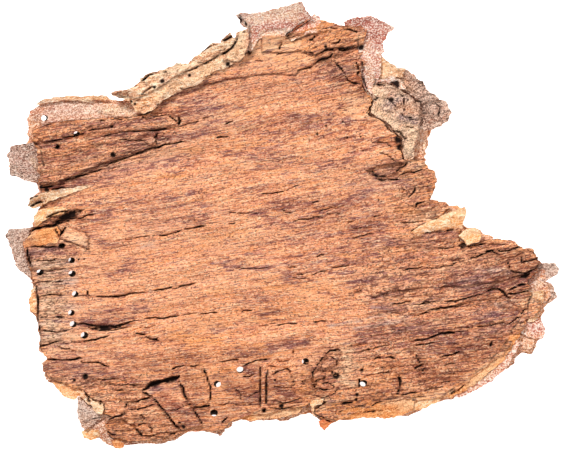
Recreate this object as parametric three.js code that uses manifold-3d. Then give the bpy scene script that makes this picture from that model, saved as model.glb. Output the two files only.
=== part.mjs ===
// A piece of tree bark, lying on its scaly outer side with the fibrous inner face up.
// Millimetres, +Z up, +X roughly along the grain, origin under the middle on the resting plane.
import * as THREE from "three";
import { mergeVertices } from "three/addons/utils/BufferGeometryUtils.js";
import Module from "manifold-3d";

// Driving dimensions, in millimetres
const LENGTH = 221.4; // left tongue to right tip
const FACE_HEIGHT = 14.5; // inner face above the resting plane, at the middle
const FACE_LAYER = 3.2; // thickness of the fibrous layer that forms the face
const WOODY_LAYERS = 8; // layers between the fibrous layer and the outer scales
const MIDDLE_SHARE = 0.45; // share of those layers that reaches out to the rim
const SCALE_DEPTH = 3.3; // how far the outer scales stand out below
const TRUNK_RADIUS = 450; // bend across the grain
const LENGTHWISE_RADIUS = 2600; // slight bend along the grain
const GRAIN_SLOPE = 0.15; // rise of the grain along X
const BORE = 2.6; // diameter of a beetle's exit hole
const BORE_SIDES = 6;

// Outlines are read off a view from straight above, 563 by 450 pixels, where the piece is
// 553.5 pixels long. A point is [pixels from the left, pixels from the top].
const LENGTH_IN_PIXELS = 553.5;
const MIDDLE_PIXEL = [282.75, 225.75];
const MM_PER_PIXEL = LENGTH / LENGTH_IN_PIXELS;

// The whole piece, without the curled scales that stand out past it
const RIM = [
  [28, 118], [30, 111], [35, 107], [42, 104], [58, 100.5], [72, 97.5], [90, 95.5], [106, 98],
  [119, 100], [131, 99], [143, 88], [152, 79], [166, 74], [180, 70], [195, 63], [208, 53],
  [222, 48], [235, 44], [245, 34], [250, 24], [272, 18], [300, 14], [311, 19], [314, 14.5],
  [319, 20], [325, 20], [336, 26], [346, 26], [366, 28], [377, 38], [379, 58], [390, 66],
  [404, 73], [412, 79], [418, 88], [425, 96], [438, 104], [445, 111], [441, 119], [430, 126],
  [428, 140], [425, 154], [425.5, 166], [436, 171], [437, 180], [435, 190], [430, 200],
  [447, 202.5], [451, 207], [458, 209], [465, 206.5], [468, 211], [463, 224], [467, 230],
  [477, 228], [484, 234], [495, 238.5], [512, 239], [524, 248], [533, 248], [540, 260],
  [545, 264], [552, 268], [550, 276], [546, 281], [551, 285], [553, 296], [545, 308],
  [541, 319], [544.5, 329], [543, 338], [537, 340], [536, 347], [531, 354], [521, 352.5],
  [515, 359], [515, 363], [507, 369], [500, 369.5], [487, 376], [479, 387], [467, 393],
  [459, 397], [447, 400], [421, 404], [421, 409], [408, 416], [392, 416], [380, 412],
  [370, 417], [345, 419], [333, 423], [322, 428], [321, 421], [312, 415], [310, 410],
  [300, 415.5], [288, 420], [262, 420], [250, 422], [243, 419], [233, 422], [230, 429],
  [225, 429], [222, 435.5], [200, 431], [188, 431.5], [176, 440], [160, 443.5], [127, 444.5],
  [116, 447.5], [106, 444], [100, 438], [92, 439.5], [83, 437], [84, 430], [78, 412],
  [80, 397], [70, 396], [61, 393], [56, 385], [46, 380], [41, 364], [46, 359], [38.5, 350],
  [39, 338], [35, 318], [28, 310], [33, 291], [30, 278], [23, 273], [15.5, 266], [13, 257],
  [10, 242], [6.5, 235], [9, 230], [31, 226.5], [33.5, 217], [40, 205], [28, 203], [31, 198],
  [38, 192], [36, 183], [22, 179], [10.5, 174], [8, 156], [15, 144.5], [30, 143], [26.3, 135],
];

// The fibrous inner layer, which has broken away from the rim in many places
const FACE = [
  [34, 131], [50, 124], [65, 121.5], [95, 119], [130, 118], [150, 113], [157, 107], [170, 96],
  [185, 88], [200, 83], [215, 71], [236, 60], [249, 53], [257, 43], [261, 37], [285, 37],
  [303, 32], [316, 29], [322, 22.5], [332, 23.5], [343, 28], [361, 27], [366, 32], [361, 47],
  [365, 60], [365, 68], [362, 77], [362, 88], [372, 101], [368, 114], [385, 124], [392, 132],
  [401, 138], [400, 150], [404, 160], [424, 160], [427, 168], [435, 172], [436, 180],
  [434, 190], [429, 200], [446, 203.5], [450, 207], [436, 219], [412, 230], [414, 236],
  [440, 229], [460, 230], [459, 241], [472, 246], [486, 241], [498, 239.5], [511, 240],
  [523, 249], [532, 249.5], [539, 262], [536, 272], [528, 280], [528, 292], [540, 300],
  [539, 310], [534, 318], [524, 320], [520, 331], [509, 344], [497, 357], [482, 368],
  [468, 380], [452, 393], [440, 396], [415, 398.5], [400, 399], [386, 401], [372, 409.5],
  [357, 411.5], [345, 417], [335, 420], [322, 418.5], [313, 411], [327, 400.5], [315, 401],
  [303, 405], [290, 409], [262, 412], [247, 416], [231, 420], [224, 428], [212, 430],
  [186, 430], [175, 435], [150, 440], [128, 440], [112, 437], [106, 424], [112, 416],
  [100, 411], [104, 405], [88, 396], [82, 388], [60, 382], [47, 376], [43, 366], [48, 359],
  [41, 350], [41, 338], [37, 318], [36, 308], [35, 292], [36, 285], [32, 276], [28, 262],
  [23, 244], [33, 229], [38, 226], [36, 217], [42, 206], [47, 198], [42, 192], [40, 183],
  [39, 170], [38, 150], [34, 142],
];

// Raised plates of the face: outline and height above what lies round them
const FACE_PLATES = [
  { // terrace along the top edge
    lift: 1.3,
    outline: [
      [199, 86], [215, 84], [228, 79], [250, 77], [270, 74], [295, 75.5], [299, 70], [311, 67],
      [316, 61], [334, 57], [338, 50], [358, 48], [372, 48], [372, 20], [310, 8], [230, 30],
      [190, 70],
    ],
  },
  { // torn upper leaf of that terrace
    lift: 2.4,
    outline: [
      [262, 53], [285, 53], [301, 52], [315, 56], [325, 51], [340, 48.5], [350, 46], [359, 46.5],
      [374, 46], [374, 15], [262, 15],
    ],
  },
  { // upper left plate, with a splintered right end
    lift: 1.2,
    outline: [
      [25, 132], [60, 122], [100, 112], [140, 110], [167, 116], [179, 117], [178.5, 127],
      [160, 129.5], [140, 131], [120, 132], [100, 136], [80, 139], [45, 142],
    ],
  },
  { // thick rounded plate below it
    lift: 2.3,
    outline: [
      [20, 150], [60, 141], [100, 136], [120, 132], [150, 131], [159, 131.5], [155, 137],
      [157, 145], [140, 152], [113, 159], [100, 164], [75, 175], [60, 181], [38, 186], [20, 186],
    ],
  },
  { // pale chip, lifted
    lift: 1.5,
    outline: [[60, 238], [67, 225], [78, 229], [89, 236], [89, 249], [72, 242]],
  },
  { // block beside the twin cracks
    lift: 0.9,
    outline: [
      [267.5, 366], [284, 367], [292, 375], [295, 384], [290, 386], [297, 396], [302, 401],
      [267.5, 403],
    ],
  },
  { // block left of the twin cracks
    lift: 0.7,
    outline: [[240, 374], [248, 365], [259.5, 364], [259.5, 404], [240, 402], [239, 390]],
  },
  { // bright plate beyond the open gap, lower left
    lift: 0.9,
    outline: [
      [142, 392], [152, 384], [172, 380], [179, 383], [184, 393], [188, 402], [196, 412],
      [202, 424], [182, 430], [165, 414], [157, 401], [151, 395],
    ],
  },
  { // small stepped block, lower left
    lift: 1.3,
    outline: [
      [126, 409], [128, 403], [140, 401], [153, 397.5], [158, 403], [167, 415], [180, 430],
      [165, 436], [143, 434.5], [136, 425], [121, 417],
    ],
  },
  { // shelf on the right, above the long crack
    lift: 1.3,
    outline: [
      [372, 297], [395, 290], [430, 288], [470, 285], [500, 281], [527, 272], [540, 262],
      [536, 246], [507, 261], [490, 251], [460, 259], [450, 265], [428, 268], [405, 269],
      [385, 262], [370, 284],
    ],
  },
  { // shelf on the right, below the long crack
    lift: -1.0,
    outline: [
      [415, 316], [430, 309.5], [450, 305], [480, 299], [500, 297], [519, 307], [503, 327],
      [468, 327], [440, 330], [425, 325],
    ],
  },
  { // hollow beside the bend of the right edge
    lift: -2.4,
    outline: [[367, 171], [378, 166], [398, 162], [404, 163], [398, 175], [380, 179.5]],
  },
  { // rough sunken knot near the bottom edge
    lift: -0.9,
    outline: [[330, 350], [342, 351], [338, 365], [341, 384], [334, 396], [313, 395], [311, 379]],
  },
  { // open gap behind the bright plate
    lift: -3.2,
    outline: [[144, 389.5], [151, 382], [176, 376], [178, 380], [170, 380.5], [153, 384]],
  },
];

// Cracks in the face: points, width and depth in millimetres
const CRACKS = [
  { width: 1.2, depth: 2.6, line: [[91, 297], [118, 296.5], [150, 291], [202, 282]] },
  { width: 2.4, depth: 3.2, line: [[68, 327], [104, 328], [143, 319], [180, 315.5]] },
  { width: 0.9, depth: 2, line: [[123, 240], [160, 235.5], [208, 225]] },
  { width: 1.4, depth: 3, line: [[134, 332], [144, 334], [150, 339], [157, 338], [161, 344]] },
  { width: 1, depth: 2.2, line: [[38, 346], [84, 341.5], [114, 331]] },
  { width: 1, depth: 2.2, line: [[42, 359], [84, 360], [112, 364]] },
  { width: 1, depth: 2.4, line: [[170, 369], [184, 365], [198, 364]] },
  { width: 1.1, depth: 2.4, line: [[242, 367], [250, 362.5], [260, 359.5], [272, 359]] },
  { width: 1, depth: 2.6, line: [[259.7, 362], [261, 409]] },
  { width: 1, depth: 2.6, line: [[267, 363], [267, 409]] },
  { width: 1.4, depth: 2.6, line: [[390, 304], [430, 301.5], [465, 298], [496, 288]] },
  { width: 1.6, depth: 2.6, line: [[413, 317], [430, 309.5], [450, 305.5], [470, 303]] },
  { width: 1.3, depth: 2.4, line: [[500, 328], [511, 319], [518, 312], [524, 304]] },
  { width: 1.5, depth: 2.6, line: [[464, 327], [490, 325], [510, 318]] },
  { width: 1.3, depth: 2.6, line: [[448, 268], [460, 260], [490, 250.5], [508, 262], [524, 272]] },
  { width: 1.8, depth: 3.4, line: [[457, 246], [464, 247], [474, 244.5], [486, 242]] },
  { width: 1.1, depth: 2.2, line: [[352, 353], [412, 339], [466, 332]] },
  { width: 1.3, depth: 2.8, line: [[491, 340], [490, 360]] },
  { width: 1, depth: 2.2, line: [[398, 376], [398, 391], [440, 385]] },
  { width: 1.2, depth: 2.4, line: [[358, 376], [356, 400]] },
  { width: 1.4, depth: 2.4, line: [[398, 176], [412, 170.5], [426, 167]] },
  { width: 1.1, depth: 2.2, line: [[395, 222], [410, 221.5], [426, 219], [442, 215]] },
  { width: 1.2, depth: 2.2, line: [[194, 406], [198, 416], [203, 424]] },
  { width: 3.4, depth: 4.2, line: [[33, 222], [46, 217], [62, 214], [77, 213]] },
  { width: 1.1, depth: 2.4, line: [[30, 234], [62, 223], [95, 213]] },
  { width: 1.1, depth: 2.2, line: [[30, 270], [70, 266]] },
];

// Exit holes bored right through: place on the face
const HOLES = [
  [45.5, 118], [76, 132.5], [61.5, 244], [71, 260], [40.5, 272], [72, 273], [75, 294],
  [71, 312.5], [73, 324], [83.5, 335], [218, 384.5], [240, 369.5], [303.5, 361.5],
  [362.5, 383.5], [214, 414.5],
];
const HOLE_LEAN = [0.12, -0.05]; // sideways drift of a hole for each millimetre of height

// Pieces of the rim that curl or stand up: outline, top and thickness in millimetres.
// height is measured from the fibrous face, and curl adds to it towards the named side.
const RIM_PIECES = [
  { // cork strip along the top left edge
    height: 2.6, curl: 0, toward: [0, 1], thick: 6, cell: 11,
    outline: [
      [110.5, 94.5], [114, 92], [126, 90.5], [134, 88], [141, 83], [142, 79], [148, 75],
      [158, 72], [170, 68], [176, 65], [188, 64], [196, 56], [208, 48], [213, 43.5], [221, 44],
      [226, 36], [231, 33.5], [234, 42], [238, 34], [247, 29], [249, 40], [245, 56], [241, 62],
      [230, 67], [224, 70], [215, 72], [205, 79], [200, 84], [185, 89], [170, 97], [162, 101],
      [157, 108], [145, 114], [137, 112], [131, 103], [120, 98],
    ],
  },
  { // broad scale curled up at the top
    height: 2, curl: 6, toward: [0.15, 1], thick: 1.2, cell: 8,
    outline: [
      [236, 17], [239, 15.5], [252, 15], [266, 13], [278, 10], [292, 6.5], [302, 4], [306, 12],
      [311, 19], [296, 28], [285, 38.5], [275, 40], [260, 38.5], [257, 44], [249, 54],
      [246.5, 50], [248, 30], [241, 26],
    ],
  },
  { // scale at the top right
    height: -0.6, curl: 3.4, toward: [0.8, 0.6], thick: 1.3, cell: 12,
    outline: [
      [343, 22.5], [348, 20.5], [360, 18], [373, 18], [383, 22.5], [393, 28.5], [387, 36],
      [382, 42], [383.5, 51], [381, 57], [380, 76], [371, 94], [364, 88], [362, 77], [362, 66],
      [358, 50], [358, 34], [344, 30],
    ],
  },
  { // cream wedge under it
    height: -1.6, curl: 2.4, toward: [0.7, 0.7], thick: 1.4, cell: 0,
    outline: [
      [373, 50], [380, 57], [387, 61], [394, 67], [404, 69.5], [403, 78], [390, 77], [376, 82],
    ],
  },
  { // narrow curl below the wedge
    height: 0.6, curl: 1.8, toward: [1, 0], thick: 1.2, cell: 0,
    outline: [[378, 81], [392, 76], [400, 79], [407, 90], [399, 89], [391, 83]],
  },
  { // two grey scales, one over the other, on the right shoulder
    height: -1.2, curl: 3.2, toward: [0.9, 0.3], thick: 1.4, cell: 0,
    outline: [
      [396, 68], [404, 69.5], [411, 71.5], [416, 79], [423, 82], [426, 90], [434, 94.5],
      [438, 99], [422, 103], [408, 94], [400, 84],
    ],
  },
  { // lower shoulder scale
    height: -2.4, curl: 3.4, toward: [1, 0], thick: 1.4, cell: 0,
    outline: [
      [412, 99], [428, 98], [438.5, 100], [445, 101], [449, 108], [451, 111], [448, 121],
      [442, 125], [430, 131], [418, 128], [410, 114],
    ],
  },
  { // rough crust between the face and the shoulder
    height: 0.3, curl: 0, toward: [1, 0], thick: 4, cell: 14,
    outline: [
      [372, 84], [384, 83], [396, 88], [410, 96], [420, 102], [421, 118], [416, 140],
      [413, 158], [406, 162], [402, 149], [402, 138], [393, 131], [386, 121], [370, 113],
      [373, 101],
    ],
  },
  { // grey scale at the right tip
    height: -3.4, curl: 1.6, toward: [1, 0.2], thick: 1.6, cell: 0,
    outline: [
      [536, 266], [545, 262.5], [555, 263.5], [559.5, 268], [556, 275], [546, 281], [534, 280],
    ],
  },
  { // second tip scale
    height: -4.6, curl: 1.2, toward: [1, 0], thick: 1.6, cell: 0,
    outline: [[536, 284], [552, 283], [555, 290], [556.5, 297.5], [550, 303], [537, 304]],
  },
  { // pink edge scale
    height: -2.2, curl: 1, toward: [1, -0.4], thick: 1.6, cell: 0,
    outline: [
      [520, 322], [534, 319], [541, 319], [545, 329], [543, 338], [532, 338], [521, 333],
    ],
  },
  { // pale torn wedge on the right
    height: -0.2, curl: -2.2, toward: [0.7, -0.7], thick: 3, cell: 0,
    outline: [
      [409, 232], [425, 224], [440, 218], [451, 211], [465, 206.5], [468, 211], [464, 221],
      [463, 228], [441, 231], [425, 232], [414, 238],
    ],
  },
  { // yellow lump
    height: 0.9, curl: 0, toward: [1, 0], thick: 4, cell: 0,
    outline: [[459, 236], [463, 230], [474, 228], [482, 233], [479, 242], [466, 244.5]],
  },
  { // tongue on the left, a lower layer laid bare
    height: -2, curl: 2.2, toward: [-1, 0.2], thick: 1.6, cell: 0,
    outline: [
      [36, 143], [20, 144.5], [11, 147], [8, 156], [11, 166], [10.5, 174], [22, 179],
      [38, 182.5], [44, 165], [42, 148],
    ],
  },
  { // lower left tongue
    height: -2, curl: 2.4, toward: [-1, 0], thick: 1.6, cell: 0,
    outline: [
      [36, 226], [24, 228], [9, 230], [6.5, 235], [11, 250], [15.5, 266], [23, 273], [31, 279],
      [33, 262], [27, 244],
    ],
  },
  { // flakes of the lower left corner
    height: -1.6, curl: 1.4, toward: [-1, -0.3], thick: 1.6, cell: 0,
    outline: [[79, 397], [90, 405], [100, 415], [101, 418], [86, 429], [82, 426], [78, 412]],
  },
  { // cream corner flake
    height: 0.5, curl: 0, toward: [1, 0], thick: 3, cell: 0,
    outline: [[83, 390], [90, 398], [102, 403], [105, 408], [102, 413], [97, 413], [90, 404], [80, 396]],
  },
  { // yellow corner flake
    height: -2.2, curl: 0.8, toward: [-0.6, -1], thick: 1.4, cell: 0,
    outline: [[52, 382], [75, 383], [83, 391], [75, 400], [61, 393]],
  },
];

// Waves of relief: length along the grain, width across it, height, and the seed of the noise
const FACE_WAVES = [
  { length: 38, width: 5.5, height: 0.75, seed: 1 },
  { length: 80, width: 14, height: 0.7, seed: 2 },
];
const LOWER_WAVES = [{ length: 12, width: 7, height: 0.7, seed: 3 }];
const UNDERSIDE_WAVES = [{ length: 26, width: 13, height: 0.6, seed: 4 }];
const SCALE_WAVES = [{ length: 6, width: 5, height: 0.4, seed: 5 }];

// Outer scales: size of a scale along and across the grain, and the cracks between them
const SCALE_LENGTH = 44;
const SCALE_WIDTH = 22;
const SCALE_GAP = 3;
const SCALE_COLUMNS = 4; // on each side of the middle
const SCALE_ROWS = 6;
const SCALE_TILT = 0.07;
const SECOND_SCALE_CHANCE = 0.34; // how often a smaller scale lies on a scale
const SECOND_SCALE_SHRINK = 0.35;
const SECOND_SCALE_DEPTH = 0.9;
const LONG_SIDE = 14; // a side longer than this gets a bent middle

const RIM_LOSS = 0.045; // share of the distance from the middle that the outer layers lose
const SPLINTER_REACH = 0.9; // how far splinters stand out past the rim
const SPLINTER_THICKNESS = 1;
const SPLINTER_EDGE = 4; // shortest side of the rim that carries one
const SPLINTER_CHANCE = 0.4;

// Grid cells that carry the shaped heights, along and across the grain
const FACE_CELL = [15, 4.6];
const LOWER_CELL = [16, 12];
const UNDERSIDE_CELL = [30, 20];

const FAR = 60; // beyond the piece, up or down

const wasm = await Module();
wasm.setup();

const place = ([px, py]) =>
  new THREE.Vector2((px - MIDDLE_PIXEL[0]) * MM_PER_PIXEL, (MIDDLE_PIXEL[1] - py) * MM_PER_PIXEL);

// Repeatable number from 0 to 1 for a whole-number place
function chance(i, j, seed) {
  const wave = Math.sin(i * 127.1 + j * 311.7 + seed * 74.7) * 43758.5453;
  return wave - Math.floor(wave);
}

// Smooth noise from -1 to 1
function noise(x, y, seed) {
  const i = Math.floor(x);
  const j = Math.floor(y);
  const s = (x - i) * (x - i) * (3 - 2 * (x - i));
  const t = (y - j) * (y - j) * (3 - 2 * (y - j));
  const low = THREE.MathUtils.lerp(chance(i, j, seed), chance(i + 1, j, seed), s);
  const high = THREE.MathUtils.lerp(chance(i, j + 1, seed), chance(i + 1, j + 1, seed), s);
  return 2 * THREE.MathUtils.lerp(low, high, t) - 1;
}

const across = (x, y) => y - GRAIN_SLOPE * x;
const bow = (x, y) => across(x, y) ** 2 / (2 * TRUNK_RADIUS) + x ** 2 / (2 * LENGTHWISE_RADIUS);
const relief = (waves, x, y) =>
  waves.reduce(
    (sum, w) => sum + w.height * noise(x / w.length, across(x, y) / w.width, w.seed),
    FACE_HEIGHT + bow(x, y),
  );
const faceTop = (x, y) => relief(FACE_WAVES, x, y);
const lowerTop = (x, y) => relief(LOWER_WAVES, x, y) - FACE_LAYER;
const midLevel = (x, y) => lowerTop(x, y) - MIDDLE_SHARE * WOODY_LAYERS;
const underside = (x, y) => relief(UNDERSIDE_WAVES, x, y) - FACE_LAYER - WOODY_LAYERS;

function solidOf(geometry) {
  geometry.deleteAttribute("normal");
  geometry.deleteAttribute("uv");
  const merged = mergeVertices(geometry, 1e-4);
  const mesh = new wasm.Mesh({
    numProp: 3,
    vertProperties: merged.attributes.position.array,
    triVerts: new Uint32Array(merged.index.array),
  });
  return new wasm.Manifold(mesh);
}

function geometryOf(solid) {
  const mesh = solid.getMesh();
  return new THREE.BufferGeometry()
    .setAttribute("position", new THREE.BufferAttribute(mesh.vertProperties, 3))
    .setIndex(new THREE.BufferAttribute(mesh.triVerts, 1));
}

// Moves each vertex of a geometry
function reshape(geometry, move) {
  const position = geometry.attributes.position;
  const point = new THREE.Vector3();
  for (let i = 0; i < position.count; i += 1) {
    move(point.fromBufferAttribute(position, i));
    position.setXYZ(i, point.x, point.y, point.z);
  }
  return geometry;
}

// Slab with an outline, whose top and bottom heights are set at the outline's points alone
function slab(points, top, bottom) {
  const geometry = new THREE.ExtrudeGeometry(new THREE.Shape(points), {
    depth: 1,
    bevelEnabled: false,
  });
  return solidOf(
    reshape(geometry, (p) => {
      p.z = p.z > 0.5 ? top(p.x, p.y) : bottom(p.x, p.y);
    }),
  );
}

// Block over a grid that follows the grain, with shaped top and bottom
function block(points, [cellLong, cellAcross], top, bottom) {
  const box = new THREE.Box2().setFromPoints(points).expandByScalar(1);
  const slant = GRAIN_SLOPE * Math.max(Math.abs(box.min.x), Math.abs(box.max.x));
  const x0 = Math.floor(box.min.x / cellLong);
  const x1 = Math.ceil(box.max.x / cellLong);
  const y0 = Math.floor((box.min.y - slant) / cellAcross);
  const y1 = Math.ceil((box.max.y + slant) / cellAcross);
  const geometry = new THREE.BoxGeometry(
    (x1 - x0) * cellLong, (y1 - y0) * cellAcross, 1, x1 - x0, y1 - y0, 1,
  );
  const midX = ((x0 + x1) * cellLong) / 2;
  const midY = ((y0 + y1) * cellAcross) / 2;
  return solidOf(
    reshape(geometry, (p) => {
      p.x += midX;
      p.y += midY + GRAIN_SLOPE * p.x;
      p.z = p.z > 0 ? top(p.x, p.y) : bottom(p.x, p.y);
    }),
  );
}

const prism = (points) => slab(points, () => FAR, () => -FAR);

// Sheet that follows the shaped heights inside its outline too
function sheet(points, cell, top, bottom) {
  return block(points, cell, top, bottom).intersect(prism(points));
}

// Groove of triangular section along a line, narrowing to its ends
function groove({ line, width, depth }) {
  const path = line.map(place);
  const steps = path.length - 1;
  const geometry = new THREE.CylinderGeometry(1, 1, steps, 3, steps);
  return solidOf(
    reshape(geometry, (p) => {
      const k = Math.round(p.y + steps / 2);
      const along = path[Math.min(k + 1, steps)].clone().sub(path[Math.max(k - 1, 0)]).normalize();
      const taper = k === 0 || k === steps ? 0.2 : 1;
      const side = (p.x / Math.sin(Math.PI / 3)) * (width / 2) * taper;
      const x = path[k].x - along.y * side;
      const y = path[k].y + along.x * side;
      const low = p.z > 0.5 ? depth * taper : p.z < -0.25 ? -depth : 0;
      p.set(x, y, faceTop(path[k].x, path[k].y) - low);
    }),
  );
}

function bore(at) {
  const middle = place(at);
  const geometry = new THREE.CylinderGeometry(BORE / 2, BORE / 2, 2 * FAR, BORE_SIDES, 1);
  geometry.rotateX(Math.PI / 2);
  return solidOf(
    reshape(geometry, (p) => {
      p.x += middle.x + HOLE_LEAN[0] * p.z;
      p.y += middle.y + HOLE_LEAN[1] * p.z;
      p.z += FACE_HEIGHT;
    }),
  );
}

function rimPiece({ outline, height, curl, toward, thick, cell }) {
  const points = outline.map(place);
  const side = new THREE.Vector2(...toward).normalize();
  const reach = points.map((p) => p.dot(side));
  const near = Math.min(...reach);
  const far = Math.max(...reach);
  const rise = (x, y) => curl * ((x * side.x + y * side.y - near) / (far - near)) ** 2;
  const top = (x, y) => relief(SCALE_WAVES, x, y) + height + rise(x, y);
  const bottom = (x, y) => top(x, y) - thick;
  return cell ? sheet(points, [cell, cell], top, bottom) : slab(points, top, bottom);
}

// Keeps the part of a convex outline on the near side of a line
function clip(points, origin, normal) {
  const kept = [];
  points.forEach((p, i) => {
    const q = points[(i + 1) % points.length];
    const a = p.clone().sub(origin).dot(normal);
    const b = q.clone().sub(origin).dot(normal);
    if (a <= 0) kept.push(p);
    if (a * b < 0) kept.push(p.clone().lerp(q, a / (a - b)));
  });
  return kept;
}

// Middle of an outer scale, in columns and rows that are shifted at random
function scaleMiddle(i, j) {
  const u = (i + 0.5 * (j % 2) + 0.55 * (chance(i, j, 11) - 0.5)) * SCALE_LENGTH;
  const v = (j + 0.6 * (chance(i, j, 12) - 0.5)) * SCALE_WIDTH;
  return new THREE.Vector2(u, v + GRAIN_SLOPE * u);
}

// Outline of an outer scale: what lies nearer to its middle than to any other
function scaleOutline(i, j) {
  const middle = scaleMiddle(i, j);
  const stretch = SCALE_WIDTH / SCALE_LENGTH;
  let points = [[-1, -1], [1, -1], [1, 1], [-1, 1]].map(
    ([x, y]) => new THREE.Vector2(x * SCALE_LENGTH, y * SCALE_WIDTH).add(middle),
  );
  for (let di = -2; di <= 2; di += 1) {
    for (let dj = -2; dj <= 2; dj += 1) {
      if (di === 0 && dj === 0) continue;
      const other = scaleMiddle(i + di, j + dj);
      const normal = other.clone().sub(middle);
      const half = middle.clone().add(other).multiplyScalar(0.5);
      normal.x *= stretch * stretch;
      normal.normalize();
      points = clip(points, half.addScaledVector(normal, -SCALE_GAP / 2), normal);
    }
  }
  return points;
}

// Adds a bent middle to each side of an outline
function ragged(points, amount, seed) {
  return points.flatMap((p, i) => {
    const q = points[(i + 1) % points.length];
    const side = new THREE.Vector2(q.y - p.y, p.x - q.x);
    const bend = amount * (chance(Math.round(p.x * 3), Math.round(p.y * 3), seed) - 0.5);
    const middle = p.clone().lerp(q, 0.5).addScaledVector(side, bend);
    return side.length() > LONG_SIDE ? [p, middle] : [p];
  });
}

// Outer scales under the piece, some with a second, smaller scale on them
function outerScales() {
  const solids = [];
  for (let j = -SCALE_ROWS; j <= SCALE_ROWS; j += 1) {
    for (let i = -SCALE_COLUMNS; i <= SCALE_COLUMNS; i += 1) {
      const points = scaleOutline(i, j);
      if (points.length < 3) continue;
      const middle = scaleMiddle(i, j);
      const low = SCALE_DEPTH * (0.6 + 0.7 * chance(i, j, 13));
      const tilt = SCALE_TILT * (chance(i, j, 14) - 0.5);
      const top = (x, y) => underside(x, y) + SCALE_DEPTH;
      const bottom = (x, y) => underside(x, y) - low - tilt * (x - middle.x);
      solids.push(slab(ragged(points, 0.3, 15), top, bottom));
      if (chance(i, j, 16) < SECOND_SCALE_CHANCE) {
        const smaller = points.map((p) => p.clone().lerp(middle, SECOND_SCALE_SHRINK));
        const lower = (x, y) => bottom(x, y) - SECOND_SCALE_DEPTH;
        solids.push(slab(ragged(smaller, 0.35, 17), underside, lower));
      }
    }
  }
  return wasm.Manifold.union(solids);
}

// Splinters between the layers along the broken rim
function splinters() {
  const rim = RIM.map(place);
  const solids = [];
  rim.forEach((p, i) => {
    const q = rim[(i + 1) % rim.length];
    const edge = q.clone().sub(p);
    if (edge.length() < SPLINTER_EDGE || chance(i, 3, 21) > SPLINTER_CHANCE) return;
    const outward = new THREE.Vector2(-edge.y, edge.x).normalize();
    const length = 4 + 5 * chance(i, 0, 21);
    const width = 1.6 + 1.4 * chance(i, 1, 21);
    const reach = Math.abs(outward.x) * length + Math.abs(outward.y) * width;
    const middle = p.clone().lerp(q, 0.5).addScaledVector(outward, SPLINTER_REACH - reach);
    const share = 0.15 + 0.7 * chance(i, 2, 21);
    const level = (x, y) => underside(x, y) + share * (WOODY_LAYERS + FACE_LAYER);
    const corners = [[-1, -0.2], [0.2, -1], [1, 0.1], [-0.2, 0.9]];
    const points = corners.map(([a, b]) => {
      const along = a * length;
      return new THREE.Vector2(middle.x + along, middle.y + along * GRAIN_SLOPE + b * width);
    });
    const top = (x, y) => level(x, y) + SPLINTER_THICKNESS;
    solids.push(slab(points, top, level));
  });
  const grown = rim.map((p) => p.clone().multiplyScalar(1 + (2 * SPLINTER_REACH) / LENGTH));
  return wasm.Manifold.union(solids).intersect(prism(grown));
}

// Fibrous layer with its raised and sunken plates
function fibrousLayer() {
  const points = FACE.map(place);
  let solid = block(points, FACE_CELL, faceTop, () => -FAR);
  for (const { lift, outline } of FACE_PLATES) {
    const level = (x, y) => faceTop(x, y) + lift;
    if (lift > 0) solid = solid.add(sheet(outline.map(place), FACE_CELL, level, () => -FAR));
    else solid = solid.subtract(sheet(outline.map(place), FACE_CELL, () => FAR, level));
  }
  return solid.intersect(prism(points));
}

// The outermost layers have crumbled further back from the rim than those above them
function innerRim(rim) {
  const every = rim.filter((p, i) => i % 2 === 0);
  return every.map((p, i) => p.clone().multiplyScalar(1 - RIM_LOSS * chance(i, 0, 31)));
}

function bark() {
  const rim = RIM.map(place);
  const upper = fibrousLayer()
    .add(block(rim, LOWER_CELL, lowerTop, () => -FAR))
    .intersect(prism(rim))
    .intersect(block(rim, LOWER_CELL, () => FAR, midLevel));
  const outer = block(rim, LOWER_CELL, (x, y) => midLevel(x, y) + 1, () => -FAR)
    .intersect(block(rim, UNDERSIDE_CELL, () => FAR, underside))
    .add(outerScales())
    .intersect(prism(innerRim(rim)));
  let solid = upper.add(outer);
  solid = solid.add(wasm.Manifold.union(RIM_PIECES.map(rimPiece))).add(splinters());
  solid = solid.subtract(wasm.Manifold.union([...CRACKS.map(groove), ...HOLES.map(bore)]));
  const ground = new THREE.BoxGeometry(2 * LENGTH, 2 * LENGTH, FAR).translate(0, 0, -FAR / 2);
  const bodies = solid.subtract(solidOf(ground)).decompose();
  return bodies.sort((a, b) => b.volume() - a.volume())[0];
}

const mesh = new THREE.Mesh(
  geometryOf(bark()),
  new THREE.MeshStandardMaterial({ color: 0xd08a68, roughness: 0.9, metalness: 0 }),
);
mesh.name = "bark";

const group = new THREE.Group();
group.add(mesh);
export default group;
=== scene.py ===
# The looks of a piece of tree bark, which lies on its scaly outer side with the fibrous inner
# face up. Lengths are in millimetres until a mesh is stored, in metres.
import math
from collections import namedtuple

import bpy
import numpy as np
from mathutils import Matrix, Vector
from mathutils.geometry import delaunay_2d_cdt


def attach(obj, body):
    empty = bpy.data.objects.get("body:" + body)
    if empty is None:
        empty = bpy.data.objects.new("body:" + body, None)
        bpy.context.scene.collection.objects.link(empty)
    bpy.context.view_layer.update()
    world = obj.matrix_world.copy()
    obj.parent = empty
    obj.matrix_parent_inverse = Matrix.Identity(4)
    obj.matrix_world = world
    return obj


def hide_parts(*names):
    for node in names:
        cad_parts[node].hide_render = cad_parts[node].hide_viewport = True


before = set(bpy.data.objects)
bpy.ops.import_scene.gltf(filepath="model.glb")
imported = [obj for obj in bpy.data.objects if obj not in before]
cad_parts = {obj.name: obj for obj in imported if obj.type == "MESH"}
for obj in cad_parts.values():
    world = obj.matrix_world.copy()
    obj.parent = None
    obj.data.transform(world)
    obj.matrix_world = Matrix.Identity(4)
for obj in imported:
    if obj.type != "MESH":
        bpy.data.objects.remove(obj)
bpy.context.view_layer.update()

MM = 0.001  # metres

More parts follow.
